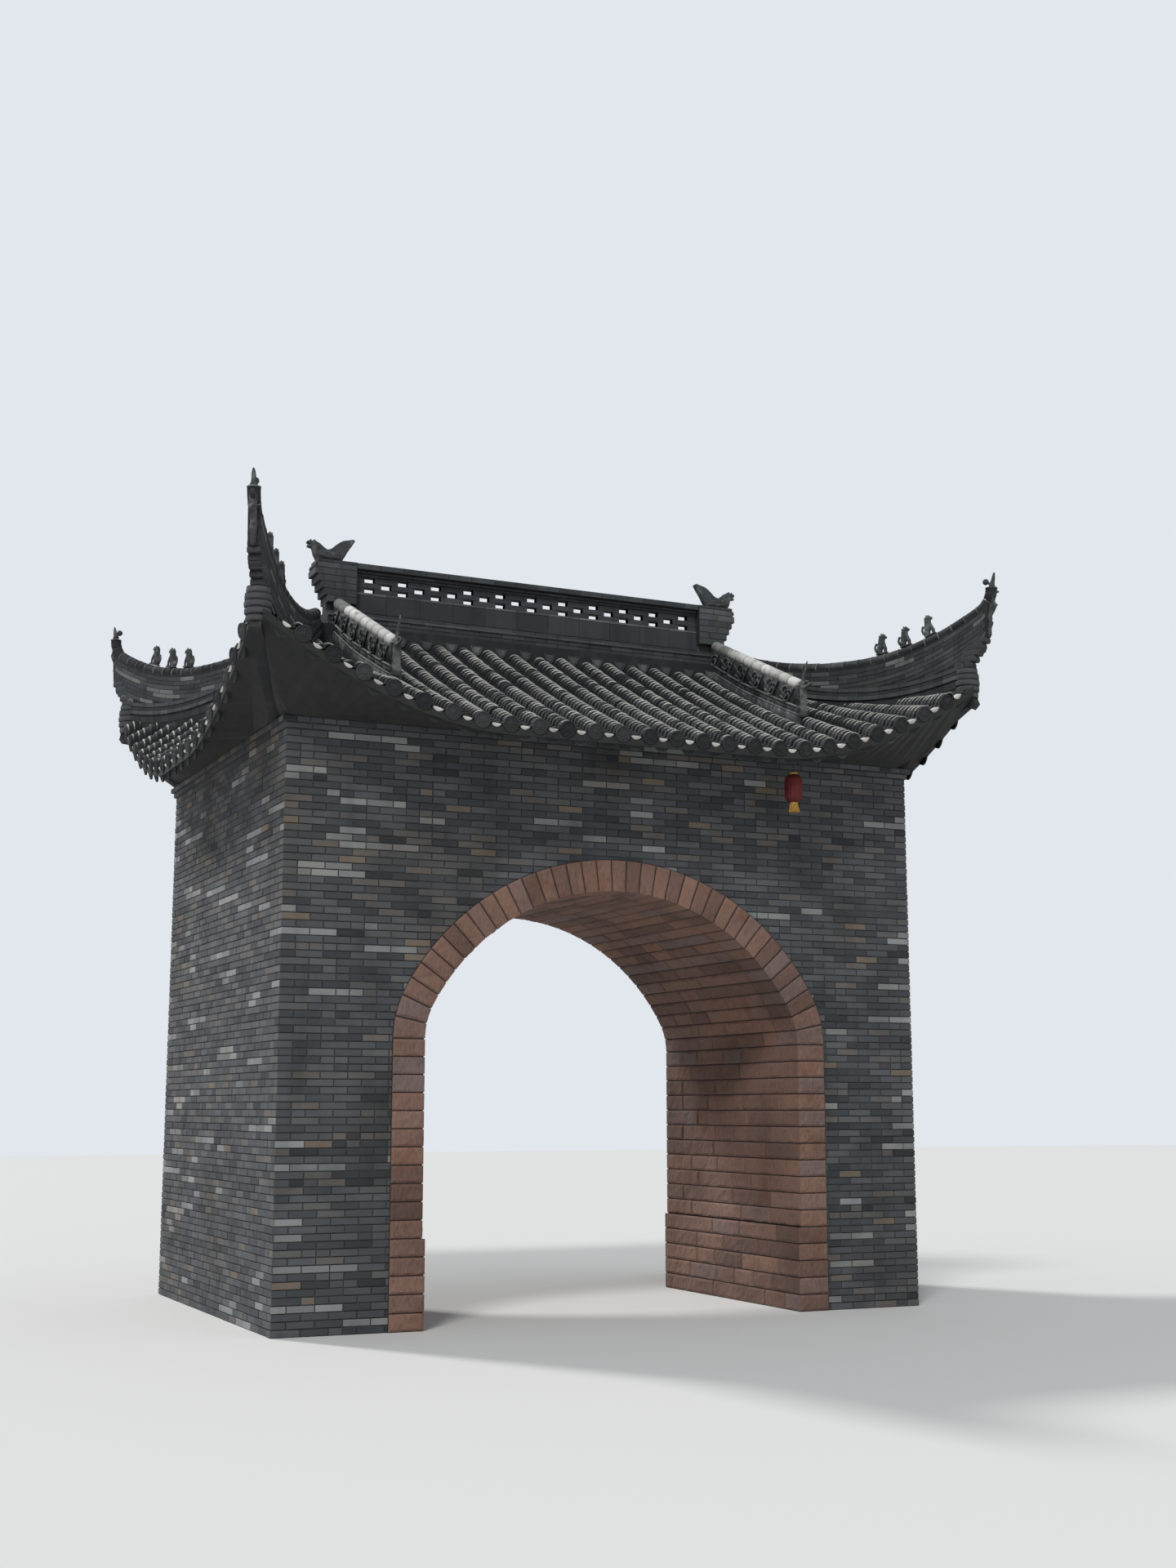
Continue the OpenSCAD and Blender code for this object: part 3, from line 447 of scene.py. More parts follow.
jamb_stones = Work()
course_h = passage.springing / jamb_courses
lined_d = lined_y - front_y + stone_proud
for side in (1, -1):
    for course in range(jamb_courses):
        low, high = course * course_h, (course + 1) * course_h
        out = ledge_out if high < ledge_h + course_h / 2 else 0.0
        inner = passage.half - out
        front = wall_face(inner if side > 0 else -inner - ring_t - out, front_y - stone_proud, 1, 0)
        back = wall_face(inner + ring_t + out if side > 0 else -inner, lined_y, -1, 0)
        lining = wall_face(side * inner, lined_y if side > 0 else front_y - stone_proud, 0, -side)
        lay_stones(jamb_stones, lining, lined_d, low, high, jamb_lengths, "r")
        for face, corner in zip((front, back), "lr" if side > 0 else "rl"):
            dress_stone(jamb_stones, face, 0, ring_t + out, low, high, random.random(), corner)
jamb_stones.piece("jamb_stones", sandstone, "sandstone")


def round_ring(arch, y, facing):
    """Turns a distance along an arch's ring, one up across it and one out of the wall into a point."""

    def place(u, v, out):
        x, z = arch.at(u if facing < 0 else arch.length - u, v)
        return x, y + facing * out, z

    return place


def ring_faces(work, arch, front, depth, facing, count):
    """Voussoirs: a face on the wall, and a soffit of the given depth that meets it at an arris."""
    length, on_wall, on_soffit = arch.length, round_ring(arch, front, facing), soffit(arch, front, -facing)
    for i in range(count):
        a, b = length * i / count, length * (i + 1) / count
        tone = random.random()
        start, end = (a, b) if facing < 0 else (length - b, length - a)
        dress_stone(work, on_wall, start, end, 0, ring_t, tone, "b")
        dress_stone(work, on_soffit, 0, depth, a, b, tone, "l")


front_ring, rear_ring = Work(), Work()
ring_faces(front_ring, passage, front_y - stone_proud, ring_d + stone_proud, -1, voussoirs)
front_ring.piece("front_ring_stones", sandstone, "sandstone")
rear_y = back_y + stone_proud
ring_faces(rear_ring, bay, rear_y, ring_d + stone_proud, 1, voussoirs + 2)
quoin_h = bay.springing / quoin_courses
for side in (1, -1):
    outer = wall_face(bay_half + ring_t if side > 0 else -bay_half, rear_y, -1, 0)
    inner = wall_face(side * bay_half, rear_y if side > 0 else back_y - ring_d, 0, -side)
    for course in range(quoin_courses):
        low, high = course * quoin_h, (course + 1) * quoin_h
        tone = random.random()
        dress_stone(rear_ring, outer, 0, ring_t, low, high, tone, "r" if side > 0 else "l")
        dress_stone(rear_ring, inner, 0, ring_d + stone_proud, low, high, tone, "l" if side > 0 else "r")
rear_ring.piece("rear_ring_stones", sandstone, "sandstone")

vault_stones = Work()
vault_length, vault_d = passage.length, lined_y - front_y - ring_d
under_vault, vault_end = soffit(passage, lined_y, -1), round_ring(passage, lined_y, 1)
for i in range(voussoirs):
    a, b = vault_length * i / voussoirs, vault_length * (i + 1) / voussoirs
    lay_stones(vault_stones, under_vault, vault_d, a, b, vault_lengths, "")
    dress_stone(vault_stones, vault_end, vault_length - b, vault_length - a, 0, ring_t, random.random(), "b")
vault_stones.piece("vault_stones", sandstone, "sandstone")

# ---- Eave cornice ----
# Two courses of brick on bed step out under the eaves on all four sides.
# The bricks are laid round the solid courses, which show only in the joints and from below.

cornice_bond, cornice_h, corner_reach = Work(), 0.05, 0.005
for step, reach in enumerate((0.025, 0.05)):
    low = wall_h + step * cornice_h
    half_w, half_d = wall_w / 2 + reach, wall_d / 2 + reach
    for x, y in ((1, 0), (-1, 0), (0, 1), (0, -1)):
        place = wall_face(half_w * (y - x), -half_d * (x + y), x, y)
        length = 2 * (half_w if x else half_d)
        lay_bond(cornice_bond, place, length, low, low + cornice_h, step, None, corner_reach, cornice_h)
cornice_bond.piece("cornice_bricks", brick, "brick")

# ---- Roof tiles ----
# Small curved grey clay tiles lie close on the hollow slopes: concave ones as pans, and over the joints
# rows of arched cover tiles, each lapping the next so that a pale lip shows every 62 mm. The pale lips are
# partly wear and partly a painted highlight; the lip fronts, one side of each arc and the pans are painted
# dark as shade.

eave_z, eave_x, eave_y, roof_rise = 5.09, 3.62, 2.73, 1.315
hip_start, hip_dx, corner_h, corner_l, corner_power, corner_in = 2.25, 1.37, 0.86, 2.25, 1.75, 2.0
row_pitch, cover_r, cover_up, lap, tile_t = 0.268, 0.076, 0.025, 0.062, 0.011
pan_half, wide_pan_half, pan_hollow, row_start, pan_start = 0.088, 0.105, 0.030, -0.004, -0.002
ridge_half, side_top, blocked_y, bright_lip_share = 0.185, 2.43, 1.90, 0.86
front_rows, side_rows, low_ridge_row = 12, 9, 8


def lift_at(run):
    """Sweep of an eave at a distance from its corner."""
    return corner_h * max(0.0, 1 - run / corner_l) ** corner_power


def front_z(x, y):
    """Level of the front and back pans; their corners are swept up only near the eave."""
    up = eave_y - abs(y)
    part = up / eave_y
    straight = eave_z + roof_rise * (0.875 * part + 0.125 * part**2)
    return straight + lift_at(eave_x - abs(x)) * max(0.0, 1 - up / corner_in)


def side_z(x, y):
    """Level of the right and left pans, which are swept up all along the hips."""
    part = (eave_x - abs(x)) / hip_dx
    return eave_z + roof_rise * (0.63 * part + 0.37 * part**2) + lift_at(eave_y - abs(y))


def front_limit(x, half):
    """How far from the middle a front row with this half width has to stop, at the ridge or a hip."""
    return max(ridge_half, eave_y * max(0.0, abs(x) - half - hip_start) / hip_dx + 0.06)


def side_limit(y, half):
    """The same for a right or left row."""
    return hip_start + hip_dx * max(0.0, abs(y) - half) / eave_y + 0.03


def front_spot(across, run):
    """Point of the front pan tiles, this far up from the eave in plan, or under the ridges at the top."""
    y = max(eave_y - run, front_limit(across, 0))
    return Vector((across, -y, front_z(across, y)))


def side_spot(across, run):
    x = max(eave_x - run, side_limit(across, 0))
    return Vector((x, across, side_z(x, across)))


def lay_skin(work, rows, tone, mirror):
    """Adds rows of points, turned over to the far side of the roof where asked."""
    x, y = mirror
    work.skin([[(p[0] * x, p[1] * y, p[2]) for p in row[:: x * y]] for row in rows], tone)


# how far up from the lip, and how far outside the tile's radius; then strips of the lip and how much
# darker than its middle each of them is: painted shade, deepest down one side of the arc
cover_shape = (
    (0.0, -tile_t - 0.003), (0.0, -0.003), (0.001, 0.003), (0.004, 0.004), (0.011, 0.0035),
    (lap + 0.012, -0.014),
)
lip_strips = (0, 2, 0.52), (1, 3, 0.32), (2, 4, 0.10), (3, 7, 0.0), (6, 9, 0.14)
pan_shape = (0.0, 0.001), (0.0, 0.013), (0.008, 0.013), (lap + 0.014, 0.001)


def lay_covers(work, spot, across, end, mirror):
    """A row of arched tiles from the eave up. Each is a shell with a lip, over the end of the one below."""
    run = row_start
    sway = random.uniform(-0.003, 0.003)
    while run < end:
        slip = random.uniform(-0.006, 0.006)
        swell = random.uniform(-0.002, 0.003)
        skew = random.uniform(-0.004, 0.004) + sway

        def arched(i, ahead, grow, start=run + slip, skew=skew, swell=swell):
            angle, radius = pi * i / 8, cover_r + grow + swell
            foot = spot(across - radius * cos(angle) + skew, start + ahead)
            return foot + Vector((0, 0, radius * sin(angle) + cover_up))

        rows = grid(cover_shape, 9, arched)
        body = random.uniform(0.0, 0.26)
        wear_and_painted_light = random.uniform(0.80, 1.0) if random.random() < bright_lip_share else random.uniform(0.5, 0.7)
        # The upright lower front of each lip gets a near-black tone: painted shade under the lip.
        lay_skin(work, rows[:2], random.uniform(0.0, 0.16), mirror)
        # The lip's top is pale, partly wear and partly a painted highlight; its strips darken down one side
        # of the arc as painted shade.
        for i in (1, 2, 3):
            for first, last, painted_shade in lip_strips:
                strip = [row[first:last] for row in rows[i : i + 2]]
                lay_skin(work, strip, max(0.1, wear_and_painted_light - painted_shade), mirror)
        lay_skin(work, rows[4:], body, mirror)
        run += lap


def lay_pans(work, spot, across, end, half, mirror):
    """A run of concave tiles between two cover rows."""
    run = pan_start
    while run < end:
        slip = random.uniform(-0.008, 0.008)
        body = random.uniform(0.0, 0.12)

        def hollow(i, ahead, lift, start=run + slip):
            t = i / 3 - 1
            return spot(across + t * half, start + ahead) + Vector((0, 0, lift + pan_hollow * t * t))

        rows = grid(pan_shape, 7, hollow)
        # Front, lip and body of every pan get near-black tones: painted shade between the cover rows.
        for i, tone in enumerate((0.20, 0.34, body)):
            lay_skin(work, rows[i : i + 2], tone, mirror)
        run += lap


tile = Finish("Weathered grey roof tile")
# Grey clay tones; the near-black low end also serves as painted shade on pans and lip fronts, and the pale
# top end as a painted highlight on the lips as well as wear.
fired = tile.tones(
    (0.00, 16, 18, 20), (0.40, 36, 38, 40), (0.60, 60, 62, 63), (0.72, 124, 124, 120),
    (1.00, 206, 203, 196),
)
lichen = tile.mottle(7.0, 5).ease(0.56, 0.70)
soot = tile.mottle(3.0, 4).ease(0.35, 0.65)
pores = tile.mottle(160.0, 3)
colour = tile.mix(lichen * 0.22, fired, rgb(84, 88, 78))
colour = tile.shaded(colour, 1.02 - 0.25 * soot + 0.30 * (pores - 0.5))
tile.wear(colour, 0.78 + 0.18 * pores, pores, 0.0025, 0.6)
bedding = Finish("Dark roof bedding")
clods = bedding.mottle(9.0, 5)
bedding.wear(bedding.mix(clods, rgb(26, 27, 28), rgb(52, 52, 50)), 0.86 + 0.1 * clods, clods, 0.006, 0.7)
bedding.dress("roof_front", "roof_back", "roof_left", "roof_right")


def front_end(x, half):
    """How far up a front row runs; the two rows under the low ridges stop below their plaques."""
    blocked = abs(abs(x) - low_ridge_row * row_pitch) < 0.01
    return eave_y - (blocked_y if blocked else front_limit(x, half))


def side_end(y, half):
    return eave_x - max(side_limit(y, half), side_top)


random.seed(268)
slopes = (
    ("front", (1, 1), front_spot, front_end, (0, -1, 0), front_rows),
    ("back", (1, -1), front_spot, front_end, (0, -1, 0), front_rows),
    ("right", (1, 1), side_spot, side_end, (1, 0, 0), side_rows),
    ("left", (-1, 1), side_spot, side_end, (1, 0, 0), side_rows),
)
for word, mirror, spot, row_end, out, last in slopes:
    covers, pans = Work(), Work()
    for k in range(-last, last + 1):
        lay_covers(covers, spot, k * row_pitch, row_end(k * row_pitch, cover_r), mirror)
    for k in range(-last - 1, last + 1):
        middle = (k + 0.5) * row_pitch
        by_low_ridge = last == front_rows and k in (low_ridge_row, -low_ridge_row - 1)
        half = wide_pan_half if by_low_ridge else pan_half
        lay_pans(pans, spot, middle, row_end(middle, half), half, mirror)
    covers.piece("cover_tiles_" + word, tile, "roof_tile", smooth=True, hides=("tile_rows_" + word,))
    pans.piece("pan_tiles_" + word, tile, "roof_tile", smooth=True)

# ---- Eave tiles ----
# Each cover row ends in a moulded round end tile with a petalled face, and each pan in a drip tile with a
# hanging tongue. Pale lime mortar fills the mouth over every drip.

disc_r, disc_out, disc_boss, disc_points, petal_r, petals, petal_h = 0.073, 0.008, 0.014, 24, 0.044, 8, 0.004
drip_half, drip_l, side_drip_more, eave_tilt = 0.100, 0.088, 0.016, radians(13)
disc_shape = (
    (disc_r, -0.02), (disc_r, 0.008), (disc_r - 0.004, 0.011), (disc_r - 0.011, 0.011),
    (disc_r - 0.014, 0.005), (petal_r, 0.007), (0.030, 0.005), (0.024, 0.010), (0.008, 0.013),
)
drip_shape = (0, -0.03), (0, 0.0), (0.5, 0.002), (0.82, 0.002), (0.88, 0.006), (1, 0.005), (1, -0.012)
mouth_shape = (0, -0.004), (0, 0.006), (0.5, 0.011), (1, 0.006), (1, -0.04)


def eave_face(spot, across, out):
    """Directions at the eave: where the tile ends, along the eave, up its face, and out from it."""
    low, high = spot(across - 0.02, 0.0), spot(across + 0.02, 0.0)
    along = (high - low).normalized()
    outward = Vector(out)
    up = Vector((0, 0, 1)) - along * along.z
    up.normalize()
    face = (outward * cos(eave_tilt) - up * sin(eave_tilt)).normalized()
    rise = (up * cos(eave_tilt) + outward * sin(eave_tilt)).normalized()
    return spot(across, 0.0), along, rise, face


def end_tile(work, spot, across, out, mirror):
    """The round end of a cover row, with a rim, a ring of petals and a boss."""
    foot, along, rise, face = eave_face(spot, across, out)
    middle = foot + rise * cover_up + face * disc_out

    def moulded(i, radius, out_by):
        angle = tau * i / disc_points
        petal = petal_h * cos(petals * angle) if radius == petal_r else 0.0
        spin = along * cos(angle) + rise * sin(angle)
        return middle + spin * radius + face * (out_by + petal)

    rows = [row + row[:1] for row in grid(disc_shape, disc_points, moulded)]
    tone = random.uniform(0.30, 0.58)
    lay_skin(work, rows, tone, mirror)
    lay_skin(work, [rows[-1], [middle + face * disc_boss] * (disc_points + 1)], tone, mirror)


def tongue(spot, across, out, count, stops, outline):
    """Rows of points on the eave's face, between an upper and a lower outline."""
    foot, along, rise, face = eave_face(spot, across, out)

    def point(i, part, out_by):
        beside, up = outline(2 * i / (count - 1) - 1, part)
        return foot + along * beside + rise * up + face * out_by

    return grid(stops, count, point)


def drip_tile(work, spot, across, out, mirror):
    """The end of a run of pans, which hangs lower on the side eaves."""
    hang = drip_l + (side_drip_more if out[0] else 0.0)

    def outline(t, part):
        top = -0.016 + 0.046 * t * t
        bottom = top - 0.012 - hang * max(0.0, 1 - abs(t) ** 2.2) ** 0.7
        return t * drip_half, top + (bottom - top) * part

    tone = random.uniform(0.2, 0.48)
    rows = tongue(spot, across, out, 13, drip_shape, outline)
    lay_skin(work, rows, [tone, tone, tone, tone + 0.08, tone + 0.1, tone], mirror)


def mouth_mortar(work, spot, across, out, mirror):
    """Lime mortar in the hollow of the last pan."""
    wide, tall = random.uniform(0.042, 0.050), random.uniform(0.026, 0.033)

    def outline(t, part):
        return t * wide, 0.002 + 0.008 * t * t + (part - 0.5) * (0.004 + tall * (1 - abs(t) ** 2.2))

    lay_skin(work, tongue(spot, across, out, 9, mouth_shape, outline), 0.99, mirror)


eave_pieces = Work()
for word, mirror, spot, row_end, out, last in slopes:
    for k in range(-last, last + 1):
        end_tile(eave_pieces, spot, k * row_pitch, out, mirror)
    for k in range(-last - 1, last + 1):
        drip_tile(eave_pieces, spot, (k + 0.5) * row_pitch, out, mirror)
        mouth_mortar(eave_pieces, spot, (k + 0.5) * row_pitch, out, mirror)
eave_pieces.piece("eave_tiles", tile, "roof_tile")

# ---- Main ridge ----
# Grey brick and slabs stand on the roof's top: a foot with hanging tongues over the tile rows, a plain
# band, a band of panels between pale fillets, three courses of bricks with gaps, and a stepped coping.

foot_top, fillet_low, fillet_high, panel_top, ridge_top = 6.51, 6.684, 6.871, 6.897, 7.178
plain_top, roll_low, roll_high, coping_low, coping_mid, coping_high = 6.66, 6.606, 6.632, 7.062, 7.091, 7.120
band_l, block_in, block_low, block_half, block_out = 2.215, 1.916, 6.748, 0.118, 0.13
foot_d, plain_d, panel_d, lattice_d = 0.19, 0.13, 0.055, 0.031
hole_pitch, hole_w, hole_course, ridge_course, end_course, panels = 0.352, 0.106, 0.055, 0.05, 0.068, 11
plain_l, roll_l, coping_l, end_l, end_slab_l, end_courses = 0.246, 0.5, 0.244, 0.22, 0.25, 5


def as_is(x, y, z):
    """The place of what lies along the main ridge."""
    return x, y, z


def lay_block(work, place, low, high, tone, edge=0.003):
    """A brick or slab with worn edges between two corners, put in place by a rule."""
    rows = []
    for x, inset in ((low[0], edge), (low[0] + edge, 0), (high[0] - edge, 0), (high[0], edge)):
        y0, y1, z0, z1 = low[1] + inset, high[1] - inset, low[2] + inset, high[2] - inset
        ring = [(y0 + edge, z0), (y1 - edge, z0), (y1, z0 + edge), (y1, z1 - edge)]
        ring += [(y1 - edge, z1), (y0 + edge, z1), (y0, z1 - edge), (y0, z0 + edge)]
        rows.append([place(x, y, z) for y, z in ring])
    work.skin(rows, tone, closed=True)
    work.add(rows[0], [tuple(range(7, -1, -1))], tone)
    work.add(rows[-1], [tuple(range(8))], tone)


def lay_row(work, place, start, end, half, low, high, size, tones, shift=0.0, joint=0.005, proud=0.004):
    """A course of blocks right through a band, with open joints and small slips in and out."""
    x = start - shift * size
    gap = joint / 2
    while x < end - 0.02:
        left, right = max(x, start), min(x + size, end)
        if right - left > 0.03:
            half_d = half + (proud + random.uniform(-0.002, 0.002))
            near, far = (left + gap, -half_d, low + gap), (right - gap, half_d, high - gap)
            lay_block(work, place, near, far, random.uniform(*tones))
        x += size


masonry = Finish("Weathered ridge brick")
laid = masonry.tones(
    (0.00, 36, 38, 40), (0.35, 54, 57, 59), (0.60, 72, 75, 76), (0.80, 112, 115, 112),
    (1.00, 178, 178, 172),
)
moss = masonry.mottle(5.0, 4).ease(0.52, 0.70)
rain = masonry.mottle(9.0, 4, (1, 1, 0.15)).ease(0.45, 0.72)
crust = masonry.mottle(120.0, 4)
colour = masonry.mix(moss * 0.4, laid, rgb(62, 66, 58))
colour = masonry.shaded(colour, 1.06 - 0.28 * rain + 0.36 * (crust - 0.5))
masonry.wear(colour, 0.84 + 0.14 * crust, crust, 0.003, 0.7)
masonry.dress("ridge_base", "ridge_panel_band", "ridge_pierced_band", "ridge_top_course")
masonry.dress("ridge_end_left", "ridge_end_right")

random.seed(21)
ridge = Work()
for i in range(3):
    low = foot_top + i * ridge_course
    high = low + ridge_course
    lay_row(ridge, as_is, -band_l, band_l, plain_d, low, high, plain_l, (0.25, 0.55), i % 2 / 2)
roll_d, tones = plain_d + 0.012, (0.50, 0.66)
lay_row(ridge, as_is, -band_l, band_l, roll_d, roll_low, roll_high, roll_l, tones, 0.0, 0.003)
for low, high, reach, tones in (
    (plain_top, fillet_low, band_l, (0.55, 0.75)),
    (fillet_low, fillet_high, block_in, (0.2, 0.45)),
    (fillet_high, panel_top, block_in, (0.6, 0.8)),
):
    start = -panels / 2 * hole_pitch
    for k in range(panels):
        left = max(start + k * hole_pitch, -reach)
        right = min(start + (k + 1) * hole_pitch, reach)
        lay_row(ridge, as_is, left, right, panel_d, low, high, right - left, tones)
for side in (-1, 1):
    left, right = sorted((side * block_in, side * band_l))
    lay_row(ridge, as_is, left, right, panel_d, plain_top, block_low, right - left, (0.2, 0.45))
for k in range(1, panels):
    x, half, tones = (k - panels / 2) * hole_pitch, panel_d + 0.007, (0.72, 0.92)
    lay_row(ridge, as_is, x - 0.011, x + 0.011, half, fillet_low, fillet_high, 0.022, tones, 0.0, 0.001)
for course, count in enumerate((panels, panels - 1, panels)):
    low = panel_top + course * hole_course
    stops = [-block_in]
    for i in range(count):
        x = (i - (count - 1) / 2) * hole_pitch
        stops += [x - hole_w / 2, x + hole_w / 2]
    stops.append(block_in)
    half = lattice_d + 0.005
    for left, right in zip(stops[::2], stops[1::2]):
        near, far = (left, -half, low + 0.001), (right, half, low + 0.054)
        lay_block(ridge, as_is, near, far, random.uniform(0.3, 0.6))
for low, high, half, tones, shift in (
    (coping_low, coping_mid, 0.043, (0.3, 0.5), 0.0),
    (coping_mid, coping_high, 0.058, (0.45, 0.65), 0.5),
    (coping_high, ridge_top, 0.106, (0.25, 0.6), 0.0),
):
    lay_row(ridge, as_is, -block_in, block_in, half, low, high, coping_l, tones, shift, 0.005, 0.003)
for side in (-1, 1):

    def at_end(x, y, z, side=side):
        return side * x, -side * y, z

    for i in range(end_courses):
        low = block_low + i * end_course
        reach, high = band_l + block_out * i / (end_courses - 1) + 0.004, low + end_course
        tones = (0.35, 0.6) if i < end_courses - 1 else (0.5, 0.7)
        lay_row(ridge, at_end, block_in, reach, block_half, low, high, end_l, tones, 0.45 * (i % 2))
    for reach, low, high, *look in (
        (2.325, 7.090, 7.146, (0.5, 0.7), 0.3),
        (2.323, 7.148, ridge_top, (0.3, 0.5), 0.0, 0.004, 0.003),
    ):
        lay_row(ridge, at_end, block_in, reach, block_half, low, high, end_slab_l, *look)
ridge.piece("ridge_bricks", masonry, "ridge_masonry")

pendants = Work()
pendant_top, pendant_half, pendant_l, pendant_points = 6.437, 0.064, 0.088, 16
for face in (-1, 1):
    for k in range(-8, 8):
        middle, tone = (k + 0.5) * row_pitch, random.uniform(0.56, 0.80)
        rows = []
        for grow, out in ((0.0, 0.0), (0.0, 0.010), (-0.006, 0.014), (-0.014, 0.008), (-0.030, 0.012)):
            half, y, top = pendant_half + grow, face * (foot_d + out), pendant_top + grow * 0.4
            row = []
            for i in range(pendant_points):
                t = i / (pendant_points - 1) * 2 - 1
                z = pendant_top - 0.012 + grow * 0.4 - (pendant_l + 1.2 * grow) * (1 - abs(t) ** 2) ** 0.8
                row.append((middle + half * t, y, z))
            row += [(middle + half, y, top), (middle - half, y, top)]
            rows.append(row[::-face])
        # The groove inside each tongue's rim is painted darker, as shade in the recess.
        pendants.skin(rows, [tone, tone, tone - 0.2, tone - 0.1], closed=True)
        pendants.add(rows[-1], [tuple(range(pendant_points + 2))], tone)
pendants.piece("ridge_pendants", masonry, "fired_ornament")

# ---- Ridge finials ----
# At each end of the main ridge stands a fish of fired clay: open mouth outwards, scaled back, and the tail
# flung up inwards. Modelled in the round and bedded on the end block.


class Clay:
    """Lumps pressed together into one body of fired clay; lengths in millimetres."""

    def __init__(self):
        self.mesh = bmesh.new()

    def plate(self, outline, half):
        lower = [self.mesh.verts.new((x, -half, z)) for x, z in outline]
        upper = [self.mesh.verts.new((x, half, z)) for x, z in outline]
        self.mesh.faces.new(lower)
        self.mesh.faces.new(upper[::-1])
        for i in range(len(outline)):
            j = (i + 1) % len(outline)
            self.mesh.faces.new((lower[j], lower[i], upper[i], upper[j]))

    def lump(self, x, y, z, rx, ry, rz, tilt=0.0):
        turn = Matrix.Rotation(radians(-tilt), 4, "Y")
        place = Matrix.Translation((x, y, z)) @ turn @ Matrix.Diagonal((rx, ry, rz, 1))
        bmesh.ops.create_icosphere(self.mesh, subdivisions=2, radius=1.0, matrix=place)

    def pair(self, x, y, *size):
        """The same lump on the left and on the right."""
        for side in (-1, 1):
            self.lump(x, side * y, *size)

    def limb(self, path, first, last, flat=1.0):
        """Lumps along a bent path of (x, y, z), thinning from the first radius to the last."""
        total = sum(dist(a, b) for a, b in zip(path, path[1:]))
        gone = 0.0
        for a, b in zip(path, path[1:]):
            length = dist(a, b)
            steps = max(1, round(length / (0.45 * min(first, last) + 1)))
            for i in range(steps + 1):
                t = i / steps
                radius = first + (last - first) * (gone + t * length) / total
                p = [a[n] + (b[n] - a[n]) * t for n in range(3)]
                self.lump(*p, radius, radius * flat, radius)
            gone += length

    def fire(self, cell, soften=4):
        """Closes the lumps to one skin and returns its points in metres, and its faces."""
        raw = bpy.data.meshes.new("clay")
        bmesh.ops.recalc_face_normals(self.mesh, faces=self.mesh.faces)
        self.mesh.to_mesh(raw)
        self.mesh.free()
        body = stand("clay", raw)
        closed = body.modifiers.new("closed", "REMESH")
        closed.mode = "VOXEL"
        closed.voxel_size = cell
        rubbed = body.modifiers.new("rubbed", "SMOOTH")
        rubbed.iterations = soften
        bpy.context.view_layer.update()
        found = body.evaluated_get(bpy.context.evaluated_depsgraph_get()).to_mesh()
        points = [v.co * 0.001 for v in found.vertices]
        faces = [tuple(face.vertices) for face in found.polygons]
        bpy.data.objects.remove(body)
        bpy.data.meshes.remove(raw)
        return points, faces


def set_clay(work, shape, place, tone, turned=False):
    """Sets fired clay in place, turned over in a mirrored corner."""
    points, faces = shape
    if turned:
        faces = [face[::-1] for face in faces]
    work.add([place(*p) for p in points], faces, tone)


carving = Finish("Fired clay carving")
baked = carving.tones(
    (0.00, 40, 43, 45), (0.50, 66, 69, 70), (0.80, 104, 107, 104), (1.00, 172, 172, 166),
)
dust = carving.mottle(14.0, 5).ease(0.50, 0.72)
stain = carving.mottle(5.0, 3).ease(0.40, 0.66)
crumb = carving.mottle(150.0, 4)
colour = carving.mix(dust * 0.55, baked, rgb(132, 134, 130))
colour = carving.shaded(colour, 1.04 - 0.30 * stain + 0.30 * (crumb - 0.5))
carving.wear(colour, 0.80 + 0.16 * crumb, crumb, 0.0025, 0.6)

fish = Clay()
fish_outline = (
    (-238, 2), (8, 2), (38, 60), (52, 112), (60, 150), (56, 200), (30, 216), (-22, 190), (-62, 156),
    (-100, 132), (-144, 150), (-184, 190), (-224, 224), (-262, 248), (-318, 262), (-362, 276),
    (-386, 262), (-358, 210), (-326, 160), (-300, 116), (-276, 66),
)
fish.plate(fish_outline, 34)
fish.lump(-40, 0, 70, 78, 58, 70)
fish.lump(-130, 0, 62, 96, 54, 62)
fish.lump(-200, 0, 88, 62, 48, 78, 24)
fish.limb([(-214, 0, 130), (-268, 0, 186), (-352, 0, 256)], 52, 22, 0.8)
fish.lump(0, 0, 140, 54, 50, 52)
fish.lump(40, 0, 178, 44, 42, 40)
fish.limb([(44, 0, 146), (98, 0, 146)], 22, 14, 1.6)
fish.limb([(50, 0, 190), (94, 0, 196), (102, 0, 184)], 24, 14, 1.5)
fish.pair(56, 34, 200, 12, 12, 12)
fish.pair(72, 16, 218, 9, 8, 14, -14)
fish.pair(34, 20, 216, 12, 8, 14, 20)
for i in range(7):
    fish.lump(-14 - 32 * i, 0, 186 - 62 * sin(i / 6 * pi) ** 0.8, 14, 10, 15)
for i in range(5):
    fish.limb([(-244 - 10 * i, 0, 130 + 14 * i), (-290 - 16 * i, 0, 206 + 13 * i)], 18, 11, 1.6)
    fish.pair(-40 - 38 * i, 48 - i, 92 - 3 * i, 22, 10, 20, 20)
    fish.pair(-58 - 38 * i, 50 - i, 48 - i, 22, 10, 20, 20)
for side in (-1, 1):
    fish.limb([(0, side * 44, 70), (-34, side * 60, 52), (-64, side * 58, 66)], 13, 7)
fish_shape = fish.fire(7.0)
random.seed(17)
fish_x, fish_squat = 2.299, 0.945
for name, side in (("left", -1), ("right", 1)):
    finial = Work()

    def on_block(x, y, z, side=side):
        return side * (fish_x + x), side * y, ridge_top + fish_squat * z

    set_clay(finial, fish_shape, on_block, random.uniform(0.35, 0.5))
    finial.piece("finial_" + name, carving, "fired_ornament", smooth=True, hides=("ridge_finial_" + name,))

# ---- Vertical ridges ----
# Four low ridges run down the front and back slopes: a carved body with scrolls over fillets, a cap of
# limewashed tubes butted end to end, and at the foot a slim upright plaque with a beak and a stem.

